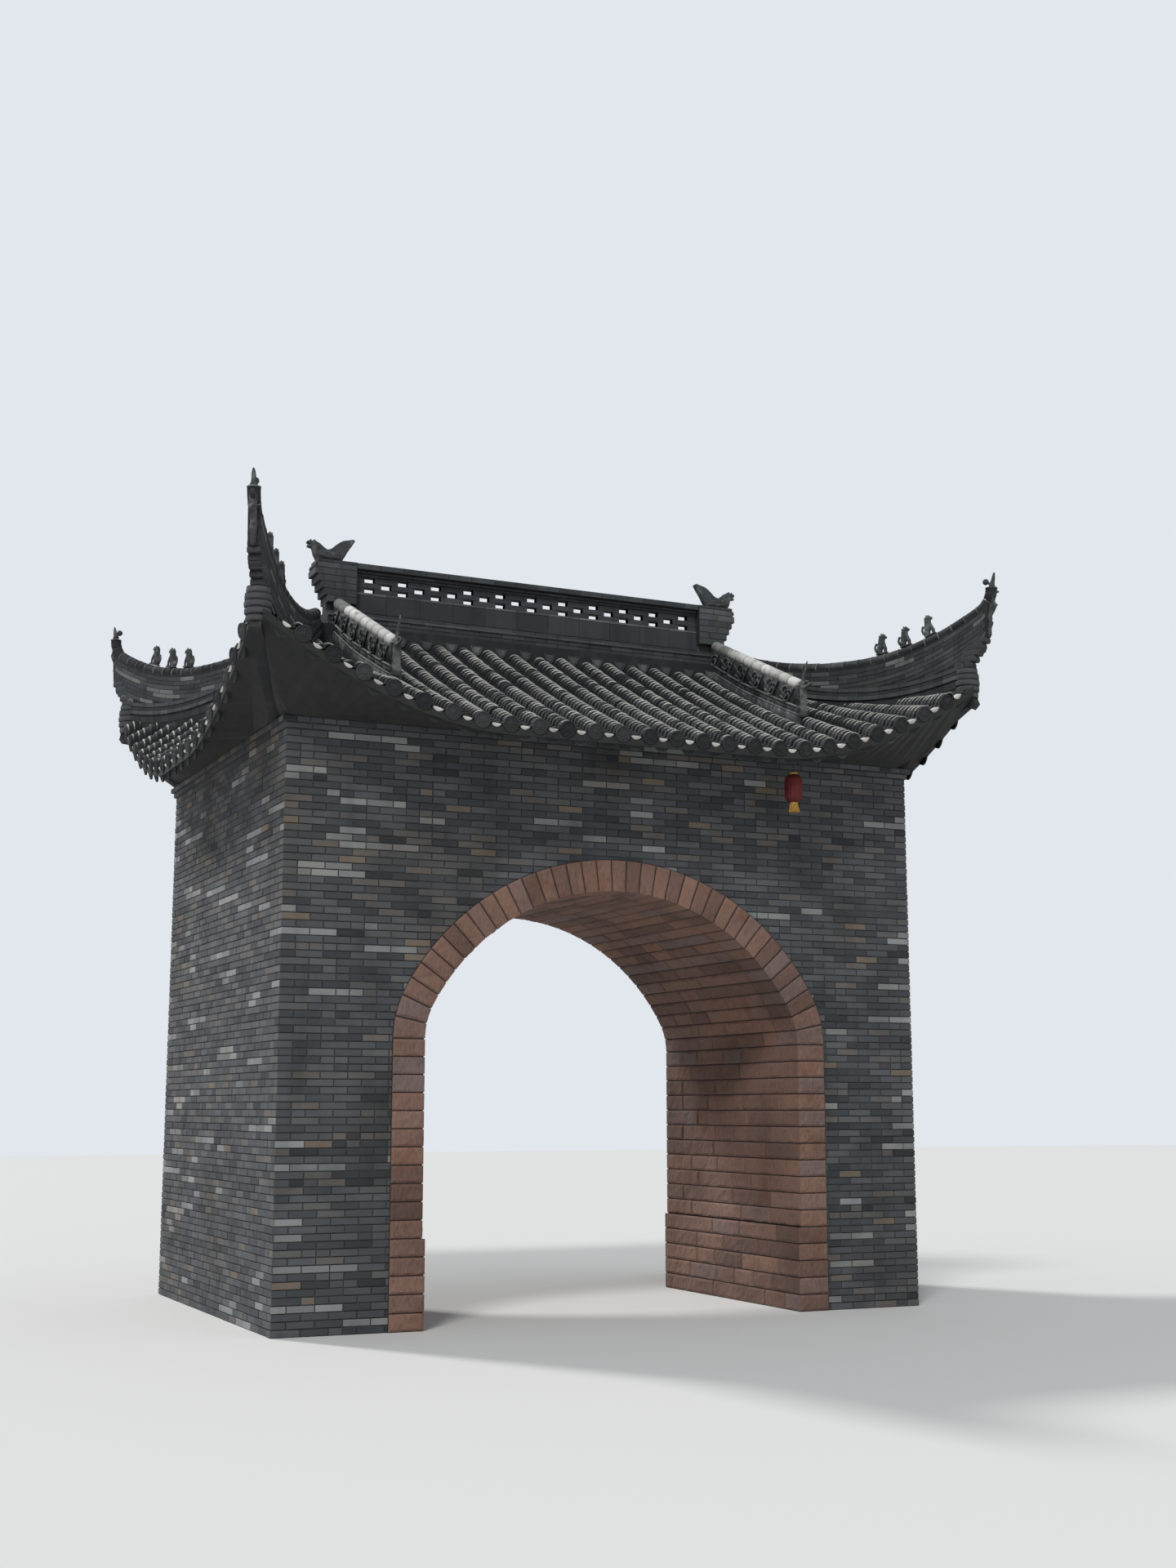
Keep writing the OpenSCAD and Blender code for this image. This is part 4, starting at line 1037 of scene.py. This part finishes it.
side_x, side_run, side_half, cap_r, top_run, cap_fall = 2.105, 1.89, 0.048, 0.054, 0.125, 0.45
low_axis, tube_count, tube_joint, strip_l = front_z(side_x, side_run) + 0.409, 10, 0.004, 0.22
scroll_low, scroll_pitch, scroll_end, scroll_wide, scroll_r, link_r = 0.212, 0.15, 0.12, 1.2, 0.0095, 0.008
scroll_turn, scroll_shrink, scroll_points = 2.6, 0.72, 22


def axis_z(run):
    """Height of the tubes' axis."""
    return low_axis + cap_fall * (side_run - run)


def bed_z(run):
    """Level of the roof under a low ridge."""
    return front_z(side_x, run)


def tube(work, path, radius, tone, closed_ends=True, around=10):
    """A round rod along a path of points; the radius may be one for each point."""
    rows = []
    for i, p in enumerate(path):
        ahead = path[min(i + 1, len(path) - 1)] - path[max(i - 1, 0)]
        ahead.normalize()
        aside = ahead.cross(Vector((0, 0, 1)))
        if aside.length < 0.05:
            aside = ahead.cross(Vector((0, 1, 0)))
        aside.normalize()
        over = aside.cross(ahead)
        r = radius[i] if isinstance(radius, list) else radius
        turns = [tau * k / around for k in range(around)]
        row = [p + (aside * cos(angle) + over * sin(angle)) * r for angle in turns]
        rows.append(row[::-1])
    work.skin(rows, tone, closed=True)
    if closed_ends:
        work.add(rows[0], [tuple(range(around - 1, -1, -1))], tone)
        work.add(rows[-1], [tuple(range(around))], tone)


lime = Finish("Limewashed ridge tube")
wash = lime.tones((0.0, 120, 120, 114), (0.5, 176, 175, 169), (1.0, 204, 203, 198))
grime = lime.mottle(16.0, 5).ease(0.50, 0.74)
flake = lime.mottle(110.0, 3)
colour = lime.shaded(lime.mix(grime * 0.7, wash, rgb(96, 98, 94)), 1 + 0.16 * (flake - 0.5))
lime.wear(colour, 0.7 + 0.2 * flake, flake, 0.002)

plaque = Clay()
plaque_outline = (
    (-12, -310), (22, -316), (44, -300), (56, -262), (40, -196), (32, -130), (42, -70), (64, -30),
    (52, 14), (26, 46), (-12, 52),
)
plaque.plate(plaque_outline, 26)
plaque.limb([(30, 0, -34), (104, 0, -16), (186, 0, 8)], 24, 7, 1.1)
plaque.limb([(30, 0, 16), (84, 0, 34), (128, 0, 22)], 17, 8)
plaque.limb([(14, 0, 36), (38, 0, 104), (78, 0, 170), (104, 0, 232)], 19, 8)
plaque.lump(70, 0, 150, 14, 11, 32, -30)
plaque.lump(94, 0, 202, 15, 10, 30, -22)
for side in (-1, 1):
    low_curl = [(8, side * 28, -290), (44, side * 32, -250), (14, side * 34, -204), (34, side * 32, -170)]
    high_curl = [(14, side * 30, -150), (36, side * 34, -100), (18, side * 32, -40), (44, side * 28, -20)]
    plaque.limb(low_curl, 13, 9)
    plaque.limb(high_curl, 12, 8)
plaque_shape = plaque.fire(7.0)


def low_ridge(tubes, scrolls, mirror_x, mirror_y):
    """One of the four: its tubes, then the strips of its body, the scrolls and the plaque."""
    turned = mirror_x * mirror_y > 0

    def on_slope(x, run, z):
        return Vector((mirror_x * (side_x + x), mirror_y * run, z))

    def at_foot(x, y, z):
        return on_slope(y, side_run + x, low_axis + z)

    step = (side_run - 0.02 - top_run) / tube_count
    radii = [cap_r - 0.010, cap_r, cap_r + 0.003, cap_r + 0.003, cap_r, cap_r - 0.010]
    for i in range(tube_count):
        a, b = top_run + i * step + tube_joint, top_run + (i + 1) * step - tube_joint
        path = [on_slope(0, run, axis_z(run)) for run in (a, a + 0.008, a + 0.02, b - 0.02, b - 0.008, b)]
        # The two tubes nearest the main ridge take the lowest tones, a darker grey: painted shadow of the
        # main ridge on them. The others vary at random as worn limewash.
        wear_and_painted_light = random.uniform(0.45, 1.0) if i > 1 else random.uniform(0.0, 0.1)
        tube(tubes, path, radii, wear_and_painted_light, around=18)
    for low, high, half, tones in (
        (-0.03, 0.112, side_half + 0.020, (0.16, 0.38)),
        (0.114, 0.132, side_half + 0.016, (0.66, 0.84)),
        (0.132, 0.186, side_half + 0.002, (0.15, 0.35)),
        (0.186, 0.206, side_half + 0.012, (0.66, 0.84)),
        (0.206, 1.0, side_half - 0.002, (0.10, 0.30)),
    ):

        def in_strip(run, x, part, low=low, high=high):
            foot = bed_z(run) + low
            head = min(bed_z(run) + high, axis_z(run))
            return on_slope(x, run, foot + (head - foot) * part)

        run = top_run
        while run < side_run - 0.01:
            far = min(run + strip_l, side_run)
            laid, near_end, far_end = Work(), (run + 0.002, -half, 0), (far - 0.002, half, 1)
            lay_block(laid, in_strip, near_end, far_end, random.uniform(*tones), 0.002)
            scrolls.join(laid, turned)
            run = far
    for face in (-1, 1):
        run, up = top_run + scroll_end, 1
        while run < side_run - scroll_end:
            low, high = bed_z(run) + scroll_low, axis_z(run) - cap_r - 0.004
            middle, r = (low + high) / 2, (high - low) / 2
            path = []
            for i in range(scroll_points):
                t = i / (scroll_points - 1)
                turn, reach = pi * (0.1 + scroll_turn * t), r * (1.0 - scroll_shrink * t)
                x = face * (side_half + 0.004 + 0.006 * sin(pi * t))
                y = run - 0.055 * up + reach * cos(turn) * scroll_wide * up
                path.append(on_slope(x, y, middle + reach * sin(turn) * up))
            link = [
                on_slope(face * (side_half + out), run + ahead, middle + over * up * r * 0.8)
                for out, ahead, over in ((0.004, -0.05, -1), (0.008, 0.01, 0), (0.004, 0.08, 1))
            ]
            tube(scrolls, path, scroll_r, random.uniform(0.45, 0.7), around=6)
            tube(scrolls, link, link_r, random.uniform(0.45, 0.7), around=6)
            run += scroll_pitch
            up = -up
    set_clay(scrolls, plaque_shape, at_foot, random.uniform(0.66, 0.82), turned)


random.seed(105)
side_tubes, side_scrolls = Work(), Work()
for mirror_x in (-1, 1):
    for mirror_y in (-1, 1):
        low_ridge(side_tubes, side_scrolls, mirror_x, mirror_y)
side_tubes.piece("side_ridge_tubes", lime, "ridge_masonry", smooth=True)
corner_names = "front_left", "front_right", "back_left", "back_right"
hidden = ["side_ridge_" + name for name in corner_names]
side_scrolls.piece("side_ridge_carving", carving, "fired_ornament", smooth=True, hides=hidden)

# ---- Hip ridges ----
# Tall swept fins of thin brick courses run out to each corner over two pale fillets. Cap tiles follow the
# sweep one by one, the outer edge steps out course by course, and a rounded boss closes the foot.

hip_angle = atan2(eave_y, hip_dx)
hip_half, fillet_h, hip_course, hip_brick, bed_end = 0.05, 0.042, 0.046, 0.22, 3.05
sweep_run, sweep_z, inner_r, outer_r = 1.72, 6.32, 4.2, 2.9
turn_run, turn_r, thorn_h = 3.08, 0.25, 0.49
turn_lean = asin((turn_run - sweep_run) / outer_r)
turn_x = turn_run - turn_r * sin(turn_lean)
turn_top = sweep_z + outer_r - sqrt(outer_r**2 - (turn_run - sweep_run) ** 2)
turn_top += turn_r * cos(turn_lean)
tip_run = turn_x + turn_r
thorn_run = tip_run - 0.05
hip_from, boss_run, boss_r, boss_z, boss_h, boss_courses = 0.268, 2.9195, 0.115, 5.80, 0.30, 5
foot_run, steps = boss_run + 0.6 * boss_r, 5
step_low, step_high = boss_z + boss_h, turn_top - thorn_h
step_h, step_run = (step_high - step_low) / steps, (thorn_run - 0.012 - foot_run) / (steps - 1)
hip_courses, bends, fillet_l, hip_tile_l, hip_tile_joint = 14, 3, 0.24, 0.16, 0.003
step_l, step_half = 0.16, 0.057


def hip_axis(run):
    """Height of the cap tiles' axis along the hip."""
    if run < sweep_run:
        return sweep_z + inner_r - sqrt(inner_r**2 - (sweep_run - run) ** 2)
    if run < turn_run:
        return sweep_z + outer_r - sqrt(outer_r**2 - (run - sweep_run) ** 2)
    return turn_top - sqrt(max(0.0, turn_r**2 - (run - turn_x) ** 2))


def hip_bed(run):
    """Level of the cover tiles' bedding on either side of a hip."""
    x, y = hip_start + cos(hip_angle) * run, sin(hip_angle) * run
    return max(front_z(x, y), side_z(x, y)) + cover_up


def hip_floor(run):
    """Level on which the brick courses start, over the fillets."""
    return hip_bed(min(run, bed_end)) + 5 * fillet_h


def hip_end(z):
    """How far out the fin reaches at a height."""
    if z > step_high:
        return thorn_run - 0.004
    return foot_run + max(0, int((z - step_low) / step_h)) * step_run


def corner_place(mirror_x, mirror_y):
    """Turns a distance out along a hip, a distance across it and a height into a point."""

    def place(run, across, z):
        x = hip_start + cos(hip_angle) * run + sin(hip_angle) * across
        y = -sin(hip_angle) * run + cos(hip_angle) * across
        return Vector((mirror_x * x, mirror_y * y, z))

    return place


def lay_hip_bricks(place):
    """Courses that follow the cap down to the fillets, each brick bent in parts, then the stepped end."""
    made = Work()
    for course in range(hip_courses):
        depth = 0.050 + course * hip_course

        def in_course(run, across, up, depth=depth):
            run = min(run, thorn_run - 0.003)
            level = hip_axis(run) - depth - hip_course + up
            return place(run, across, max(level, hip_floor(run) - 0.002))

        run = hip_from + 0.01 - (hip_brick / 2 if course % 2 else 0.0)
        while run < thorn_run:
            far = run + hip_brick
            middle = (run + far) / 2
            top = hip_axis(min(middle, thorn_run)) - depth
            start, end = max(run, hip_from), min(far, hip_end(top - 0.023))
            if top - 0.023 > hip_floor(middle) and end - start > 0.03 and top - 0.04 > step_low - 0.25:
                proud = hip_half + 0.003 + random.uniform(0, 0.003)
                tone = random.uniform(0.2, 0.62) if random.random() < 0.9 else random.uniform(0.7, 0.8)
                for p in range(bends):
                    a = start + (end - start) * p / bends + (0.002 if p == 0 else -0.003)
                    b = start + (end - start) * (p + 1) / bends - (0.002 if p == bends - 1 else -0.003)
                    lay_block(made, in_course, (a, -proud, 0.002), (b, proud, 0.044), tone, 0.002)
            run = far
    for level, half, tall, tones in (
        (0, 0.055, fillet_h * 2, (0.15, 0.4)),
        (2, 0.072, fillet_h, (0.50, 0.68)),
        (3, 0.055, fillet_h, (0.15, 0.4)),
        (4, 0.062, fillet_h, (0.44, 0.62)),
    ):

        def on_pan(run, across, up, level=level):
            return place(run, across, hip_bed(run) + level * fillet_h + up)

        run = hip_from + 0.01
        while run < boss_run - 0.02:
            far = min(run + fillet_l, boss_run)
            for a, b in ((run + 0.002, (run + far) / 2 + 0.003), ((run + far) / 2 - 0.003, far - 0.002)):
                tone = random.uniform(*tones)
                lay_block(made, on_pan, (a, -half, 0.001), (b, half, tall - 0.001), tone, 0.003)
            run = far
    for i in range(steps):
        low, reach = step_low + i * step_h, foot_run + i * step_run
        near = (reach - step_l, -step_half, low + 0.004)
        far = (reach + 0.010, step_half, low + step_h - 0.004)
        lay_block(made, place, near, far, random.uniform(0.34, 0.54), 0.007)
    return made


def lay_cap_tiles(place):
    """Tiles along the three arcs of the cap, each with a lip over the next."""
    made = Work()
    inner = degrees(asin((sweep_run - hip_from) / inner_r))
    lean = degrees(turn_lean)
    for centre, top, radius, start, end in (
        (sweep_run, sweep_z + inner_r, inner_r, -90 - inner, -90),
        (sweep_run, sweep_z + outer_r, outer_r, -90, -90 + lean),
        (turn_x, turn_top, turn_r, -90 + lean, 0),
    ):
        count = round(radians(end - start) * radius / hip_tile_l)
        step = radians(end - start) / count
        for i in range(count):
            a = radians(start) + i * step + hip_tile_joint / radius
            b = a + step - 2 * hip_tile_joint / radius
            swell = random.uniform(-0.001, 0.002)
            tile_shape = (
                (a, 0.048), (a, 0.0545), ((a + b) / 2, 0.0555), (b - 0.009 / radius, 0.056),
                (b - 0.008 / radius, 0.0585), (b, 0.0585), (b, 0.048),
            )

            def rounded(k, angle, r, swell=swell, centre=centre, top=top, radius=radius):
                ahead, over, turn = cos(angle), sin(angle), tau * k / 14
                up, across = (r + swell) * sin(turn), (r + swell) * cos(turn)
                return place(centre + radius * ahead - ahead * up, across, top + radius * over - over * up)

            body, lip = random.uniform(0.3, 0.6), random.uniform(0.58, 0.72)
            made.skin(grid(tile_shape, 14, rounded), [lip, body, body, lip, lip, lip], closed=True)
    return made


def turn_boss(place):
    """The boss, turned in five rounded courses."""
    made = Work()

    def turned_point(k, radius, z):
        angle = tau * k / 28
        return place(boss_run + radius * cos(angle), radius * sin(angle), z)

    for course in range(boss_courses):
        r = boss_r * (0.72 + 0.28 * sin(pi * (course + 1) / 6)) + 0.003
        low = boss_z + course * boss_h / boss_courses + 0.003
        high = boss_z + (course + 1) * boss_h / boss_courses - 0.003
        profile = (
            (r - 0.03, low), (r - 0.010, low), (r - 0.002, low + 0.008), (r, (low + high) / 2),
            (r - 0.002, high - 0.008), (r - 0.010, high), (0.02, high),
        )
        made.skin(grid(profile, 28, turned_point), random.uniform(0.46, 0.64), closed=True)
    return made


masonry.dress(*["hip_ridge_" + name for name in corner_names])
corners = []
for name, mirror_x, mirror_y in zip(corner_names, (-1, 1, -1, 1), (1, 1, -1, -1)):
    corners.append((name, corner_place(mirror_x, mirror_y), mirror_x * mirror_y < 0))
random.seed(63)
hip_bricks, hip_caps = Work(), Work()
for name, place, turned in corners:
    hip_bricks.join(lay_hip_bricks(place), turned)
    hip_bricks.join(turn_boss(place), turned)
    hip_caps.join(lay_cap_tiles(place), turned)
hip_bricks.piece("hip_bricks", masonry, "ridge_masonry")
hip_caps.piece("hip_cap_tiles", tile, "ridge_masonry", smooth=True)

# ---- Hip tips ----
# Each fin ends in a carved upturned tip of fired clay: thorns down the outer edge, scrollwork on the faces,
# a ball towards the roof and a spike on top. It butts on the fin's end.

tip = Clay()
tip_outline = (
    (-49, -486), (-26, -480), (-38, -402), (-14, -324), (-26, -290), (2, -226), (34, -190), (26, -150),
    (32, -98), (54, -62), (42, -30), (38, 0), (30, 45), (30, 100), (26, 126), (12, 100), (2, 60),
    (-8, 20), (-49, 0), (-18, -86), (-49, -140),
)
thorns = (6, -40, 78, -58), (-6, -165, 58, -186), (-38, -290, -4, -320), (-44, -430, -22, -480)
tip.plate(tip_outline, 20)
tip.limb([(-36, 0, -470), (-34, 0, -330), (-10, 0, -200), (6, 0, -80), (8, 0, 40)], 24, 25, 1.05)
for x0, z0, x1, z1 in thorns:
    tip.limb([(x0, 0, z0), ((x0 + x1) / 2, 0, (z0 + z1) / 2 + 8), (x1, 0, z1)], 25, 9, 0.9)
tip.limb([(4, 0, 20), (-24, 0, 44), (-44, 0, 58)], 14, 12)
tip.lump(-58, 0, 66, 33, 33, 33)
tip.limb([(8, 0, 30), (26, 0, 90), (33, 0, 140)], 25, 12)
for side in (-1, 1):
    for last, *curl in (
        (9, (-38, 20, -420), (-10, 26, -350), (-36, 24, -300), (4, 28, -236)),
        (9, (4, 28, -236), (34, 27, -180), (8, 28, -130), (30, 28, -80)),
        (8, (30, 28, -80), (-6, 28, -40), (14, 28, 16), (-10, 24, 30)),
    ):
        tip.limb([(x, side * y, z) for x, y, z in curl], 10, last)
tip_shape = tip.fire(7.0)
for name, place, turned in corners:
    end = Work()

    def on_fin(x, y, z, place=place):
        return place(tip_run + x, y, turn_top + z)

    set_clay(end, tip_shape, on_fin, random.uniform(0.3, 0.55), turned)
    end.piece("tip_" + name, carving, "fired_ornament", smooth=True, hides=("hip_tip_" + name,))

# ---- Ridge beasts ----
# Three small seated beasts of fired clay follow each other up every hip, facing outwards, with a maned
# head, straight forelegs and a tail curled up behind. Each sits on its own plinth on the cap tiles.

beast = Clay()
beast.plate([(-62, 2), (62, 2), (62, 15), (-62, 15)], 31)
beast.lump(-34, 0, 44, 38, 33, 36)
beast.lump(-14, 0, 80, 37, 32, 46, -35)
beast.lump(12, 0, 112, 34, 30, 38, -10)
beast.lump(14, 0, 148, 31, 29, 32)
beast.lump(30, 0, 180, 31, 28, 28)
beast.limb([(38, 0, 176), (60, 0, 168)], 20, 14, 1.1)
beast.lump(60, 0, 180, 7, 8, 5)
beast.pair(42, 13, 194, 7, 6, 6)
beast.pair(18, 16, 208, 9, 6, 13, 20)
beast.lump(34, 0, 212, 8, 7, 8)
for i in range(5):
    beast.pair(-5 * i, 17, 186 - 17 * i, 12, 10, 12)
    beast.lump(-8 - 4 * i, 0, 196 - 18 * i, 12, 11, 12)
for side in (-1, 1):
    beast.limb([(26, side * 15, 104), (40, side * 16, 60), (38, side * 16, 22)], 15, 11)
    beast.lump(45, side * 14, 20, 13, 9, 7)
    beast.limb([(-34, side * 24, 48), (-14, side * 27, 30), (-30, side * 26, 20)], 15, 10)
    beast.lump(-12, side * 26, 20, 16, 9, 7)
beast.limb([(-56, 0, 34), (-74, 0, 60), (-76, 0, 92), (-62, 0, 114)], 14, 11)
beast.lump(-58, 0, 118, 17, 13, 16)
beast_shape = beast.fire(5.0, 3)
first_beast, beast_pitch = 1.985, 0.285
random.seed(12)
for name, place, turned in corners:
    herd = Work()
    for i in range(3):
        at = first_beast + i * beast_pitch
        lean = asin((at - sweep_run) / outer_r)
        tall, glance = random.uniform(0.97, 1.02), random.uniform(-0.10, 0.10)

        def seated(x, y, z, at=at, lean=lean, tall=tall, glance=glance, place=place):
            y = y + glance * x * max(0.0, z - 0.12) * 6
            z = cap_r + 0.003 + z * tall
            run = at + x * cos(lean) - z * sin(lean)
            return place(run, y, hip_axis(at) + x * sin(lean) + z * cos(lean))

        set_clay(herd, beast_shape, seated, random.uniform(0.3, 0.6), turned)
    herd.piece("beast_row_" + name, carving, "fired_ornament", smooth=True, hides=("beasts_" + name,))

# ---- Lantern ----
# A small red cloth lantern hangs from a wire hook under the front eave: cloth drawn over ribs between two
# gilt caps, a wire bail with an eye, and a short fringe of gold thread.

lantern_x, lantern_y, hook_z, lantern_top = 1.62, -2.50, 5.05737, 4.94037
lantern_r, lantern_h, lantern_cap_r, lantern_cap_h, ribs = 0.0825, 0.30, 0.0413, 0.018, 16
eye_r, eye_drop, bail_wire, rib_wire, thread_r = 0.014, 0.0197, 0.004, 0.0016, 0.0019
flutes, shoulder, shoulder_power = 0.05, 0.26, 2.8


def round_lantern(r, angle, z):
    """Point at a distance and an angle round the lantern's axis, and a height over its top."""
    return Vector((lantern_x + r * cos(angle), lantern_y + r * sin(angle), lantern_top + z))


def turned_rows(profile, around, lobes=0.0):
    """Rows of points turned round the axis, drawn in between the ribs where lobes are asked for."""

    def point(k, r, z):
        angle = tau * k / around
        return round_lantern(r * (1 - lobes * (1 - abs(cos(angle * ribs / 2))) ** 1.4), angle, z)

    return [row[::-1] for row in grid(profile, around, point)]


cloth = Finish("Red lantern cloth")
weave = cloth.mottle(420.0, 2, (1, 1, 2.5))
fade = cloth.mottle(11.0, 4)
# These dark reds are the cloth painted down to its look in the eave's shade.
colour = cloth.shaded(cloth.mix(fade * 0.5, rgb(82, 9, 10), rgb(108, 18, 16)), 1 + 0.2 * (weave - 0.5))
cloth.wear(colour, 0.62 + 0.2 * weave, weave, 0.0008, 0.4)
gilt = Finish("Gilt card and thread")
worn_gilt = gilt.mottle(60.0, 3)
colour = gilt.mix(worn_gilt, rgb(168, 122, 46), rgb(214, 172, 84))
gilt.wear(colour, 0.42 + 0.3 * worn_gilt, worn_gilt, 0.001, 0.4, metallic=0.35)
wire = Finish("Rusty iron wire")
rust = wire.mottle(90.0, 4)
wire.wear(wire.mix(rust, rgb(48, 44, 42), rgb(96, 62, 44)), 0.6 + 0.3 * rust, rust, 0.0006, 0.5, metallic=0.4)
wire.dress("lantern_hook")

shell = Work()
profile = []
for i in range(25):
    t = i / 24
    z = -lantern_cap_h - t * (lantern_h - 2 * lantern_cap_h)
    bulge = 1 - max(0.0, 1 - min(t, 1 - t) / shoulder) ** shoulder_power
    profile.append((lantern_cap_r * 0.98 + (lantern_r - lantern_cap_r) * bulge, z))
shell.skin(turned_rows(profile, ribs * 6, flutes), 0.5, closed=True)
for k in range(ribs):
    path = [round_lantern(r + 0.0006, tau * k / ribs, z) for r, z in profile[::2]]
    tube(shell, path, rib_wire, 0.5, around=5)
shell.piece("lantern_cloth", cloth, "red_cloth", "lantern", smooth=True, hides=("lantern_body",))

caps = Work()
for top in (0.0, -lantern_h + lantern_cap_h):
    rim = (
        (0.004, 0), (lantern_cap_r - 0.004, 0), (lantern_cap_r, 0.004), (lantern_cap_r - 0.003, 0.008),
        (lantern_cap_r, 0.013), (lantern_cap_r - 0.004, lantern_cap_h), (0.004, lantern_cap_h),
    )
    caps.skin(turned_rows([(r, top - down) for r, down in rim], 40), 0.5, closed=True)
caps.piece("lantern_caps", gilt, "gold_thread", "lantern", smooth=True)

bail = Work()
eye = []
for k in range(21):
    angle = tau * k / 20
    y, z = lantern_y + eye_r * cos(angle), hook_z - eye_drop + eye_r * sin(angle)
    eye.append(Vector((lantern_x, y, z)))
stem = [Vector((lantern_x, lantern_y, z)) for z in (lantern_top, hook_z - 0.034)]
tube(bail, eye, bail_wire, 0.5, False, 8)
tube(bail, stem, bail_wire, 0.5, True, 8)
bail.piece("lantern_bail", wire, "iron", "lantern", smooth=True)

fringe = Work()
random.seed(9)
for ring_r, count in ((0.036, 52), (0.026, 36), (0.014, 20)):
    for k in range(count):
        angle = tau * (k + random.uniform(-0.2, 0.2)) / count
        spread = random.uniform(0.9, 1.25)
        path = []
        for t in (0.0, 0.25, 0.6, 1.0):
            r = ring_r * (1 + (spread - 0.75) * t)
            drop = 0.001 - lantern_h - t * random.uniform(0.066, 0.078)
            path.append(round_lantern(r, angle + 0.05 * sin(7 * t + k), drop))
        tube(fringe, path, thread_r, random.random(), True, 5)
fringe.piece("lantern_fringe", gilt, "gold_thread", "lantern", smooth=True, hides=("lantern_tassel",))

# ---- Floor, light and view ----
# A plain pale floor under soft daylight from the left, a stronger sun from behind that catches the tile
# lips and the inside of the right jamb, and the view that the gateway was photographed from.

floor_half = 60
floor_mesh = bpy.data.meshes.new("floor")
floor_rim = [(x * floor_half, y * floor_half, 0) for x, y in ((-1, -1), (1, -1), (1, 1), (-1, 1))]
floor_mesh.from_pydata(floor_rim, [], [(0, 1, 2, 3)])
floor = stand("floor", floor_mesh)
pale = Finish("Plain pale floor")
pale.feed(pale.shader.inputs["Base Color"], rgb(206, 205, 202))
pale.feed(pale.shader.inputs["Roughness"], 0.9)
floor_mesh.materials.append(pale.material)

sky = bpy.data.worlds.new("Soft light")
bpy.context.scene.world = sky
sky.use_nodes = True
sky_nodes, sky_links = sky.node_tree.nodes, sky.node_tree.links
light_fill, backdrop = sky_nodes["Background"], sky_nodes.new("ShaderNodeBackground")
for background, shade, strength in (
    (light_fill, rgb(232, 238, 246), 0.54), (backdrop, rgb(226, 231, 237), 1.0),
):
    background.inputs["Color"].default_value = (*shade, 1)
    background.inputs["Strength"].default_value = strength
seen = sky_nodes.new("ShaderNodeLightPath")
choose = sky_nodes.new("ShaderNodeMixShader")
sky_links.new(seen.outputs["Is Camera Ray"], choose.inputs[0])
sky_links.new(light_fill.outputs[0], choose.inputs[1])
sky_links.new(backdrop.outputs[0], choose.inputs[2])
sky_links.new(choose.outputs[0], sky_nodes["World Output"].inputs["Surface"])

for name, power, spread, across, up in (("daylight", 1.5, 12, -38, 48), ("back_light", 1.9, 6, -152, 44)):
    lamp = bpy.data.lights.new(name, "SUN")
    lamp.energy = power
    lamp.angle = radians(spread)
    stand(name, lamp).rotation_euler = (radians(90 - up), 0, radians(across))

photo_focal, photo_pitch, photo_turn = 43.72, 9.656, -24.77
lens = bpy.data.cameras.new("camera")
lens.sensor_fit = "VERTICAL"
lens.sensor_height = 36
lens.lens = photo_focal
lens.clip_end = 200
camera = stand("camera", lens)
camera.location = (-7.489, -17.651, 1.844)
camera.rotation_euler = (radians(90 + photo_pitch), 0, radians(photo_turn))
bpy.context.scene.camera = camera
bpy.context.scene.view_settings.view_transform = "Standard"
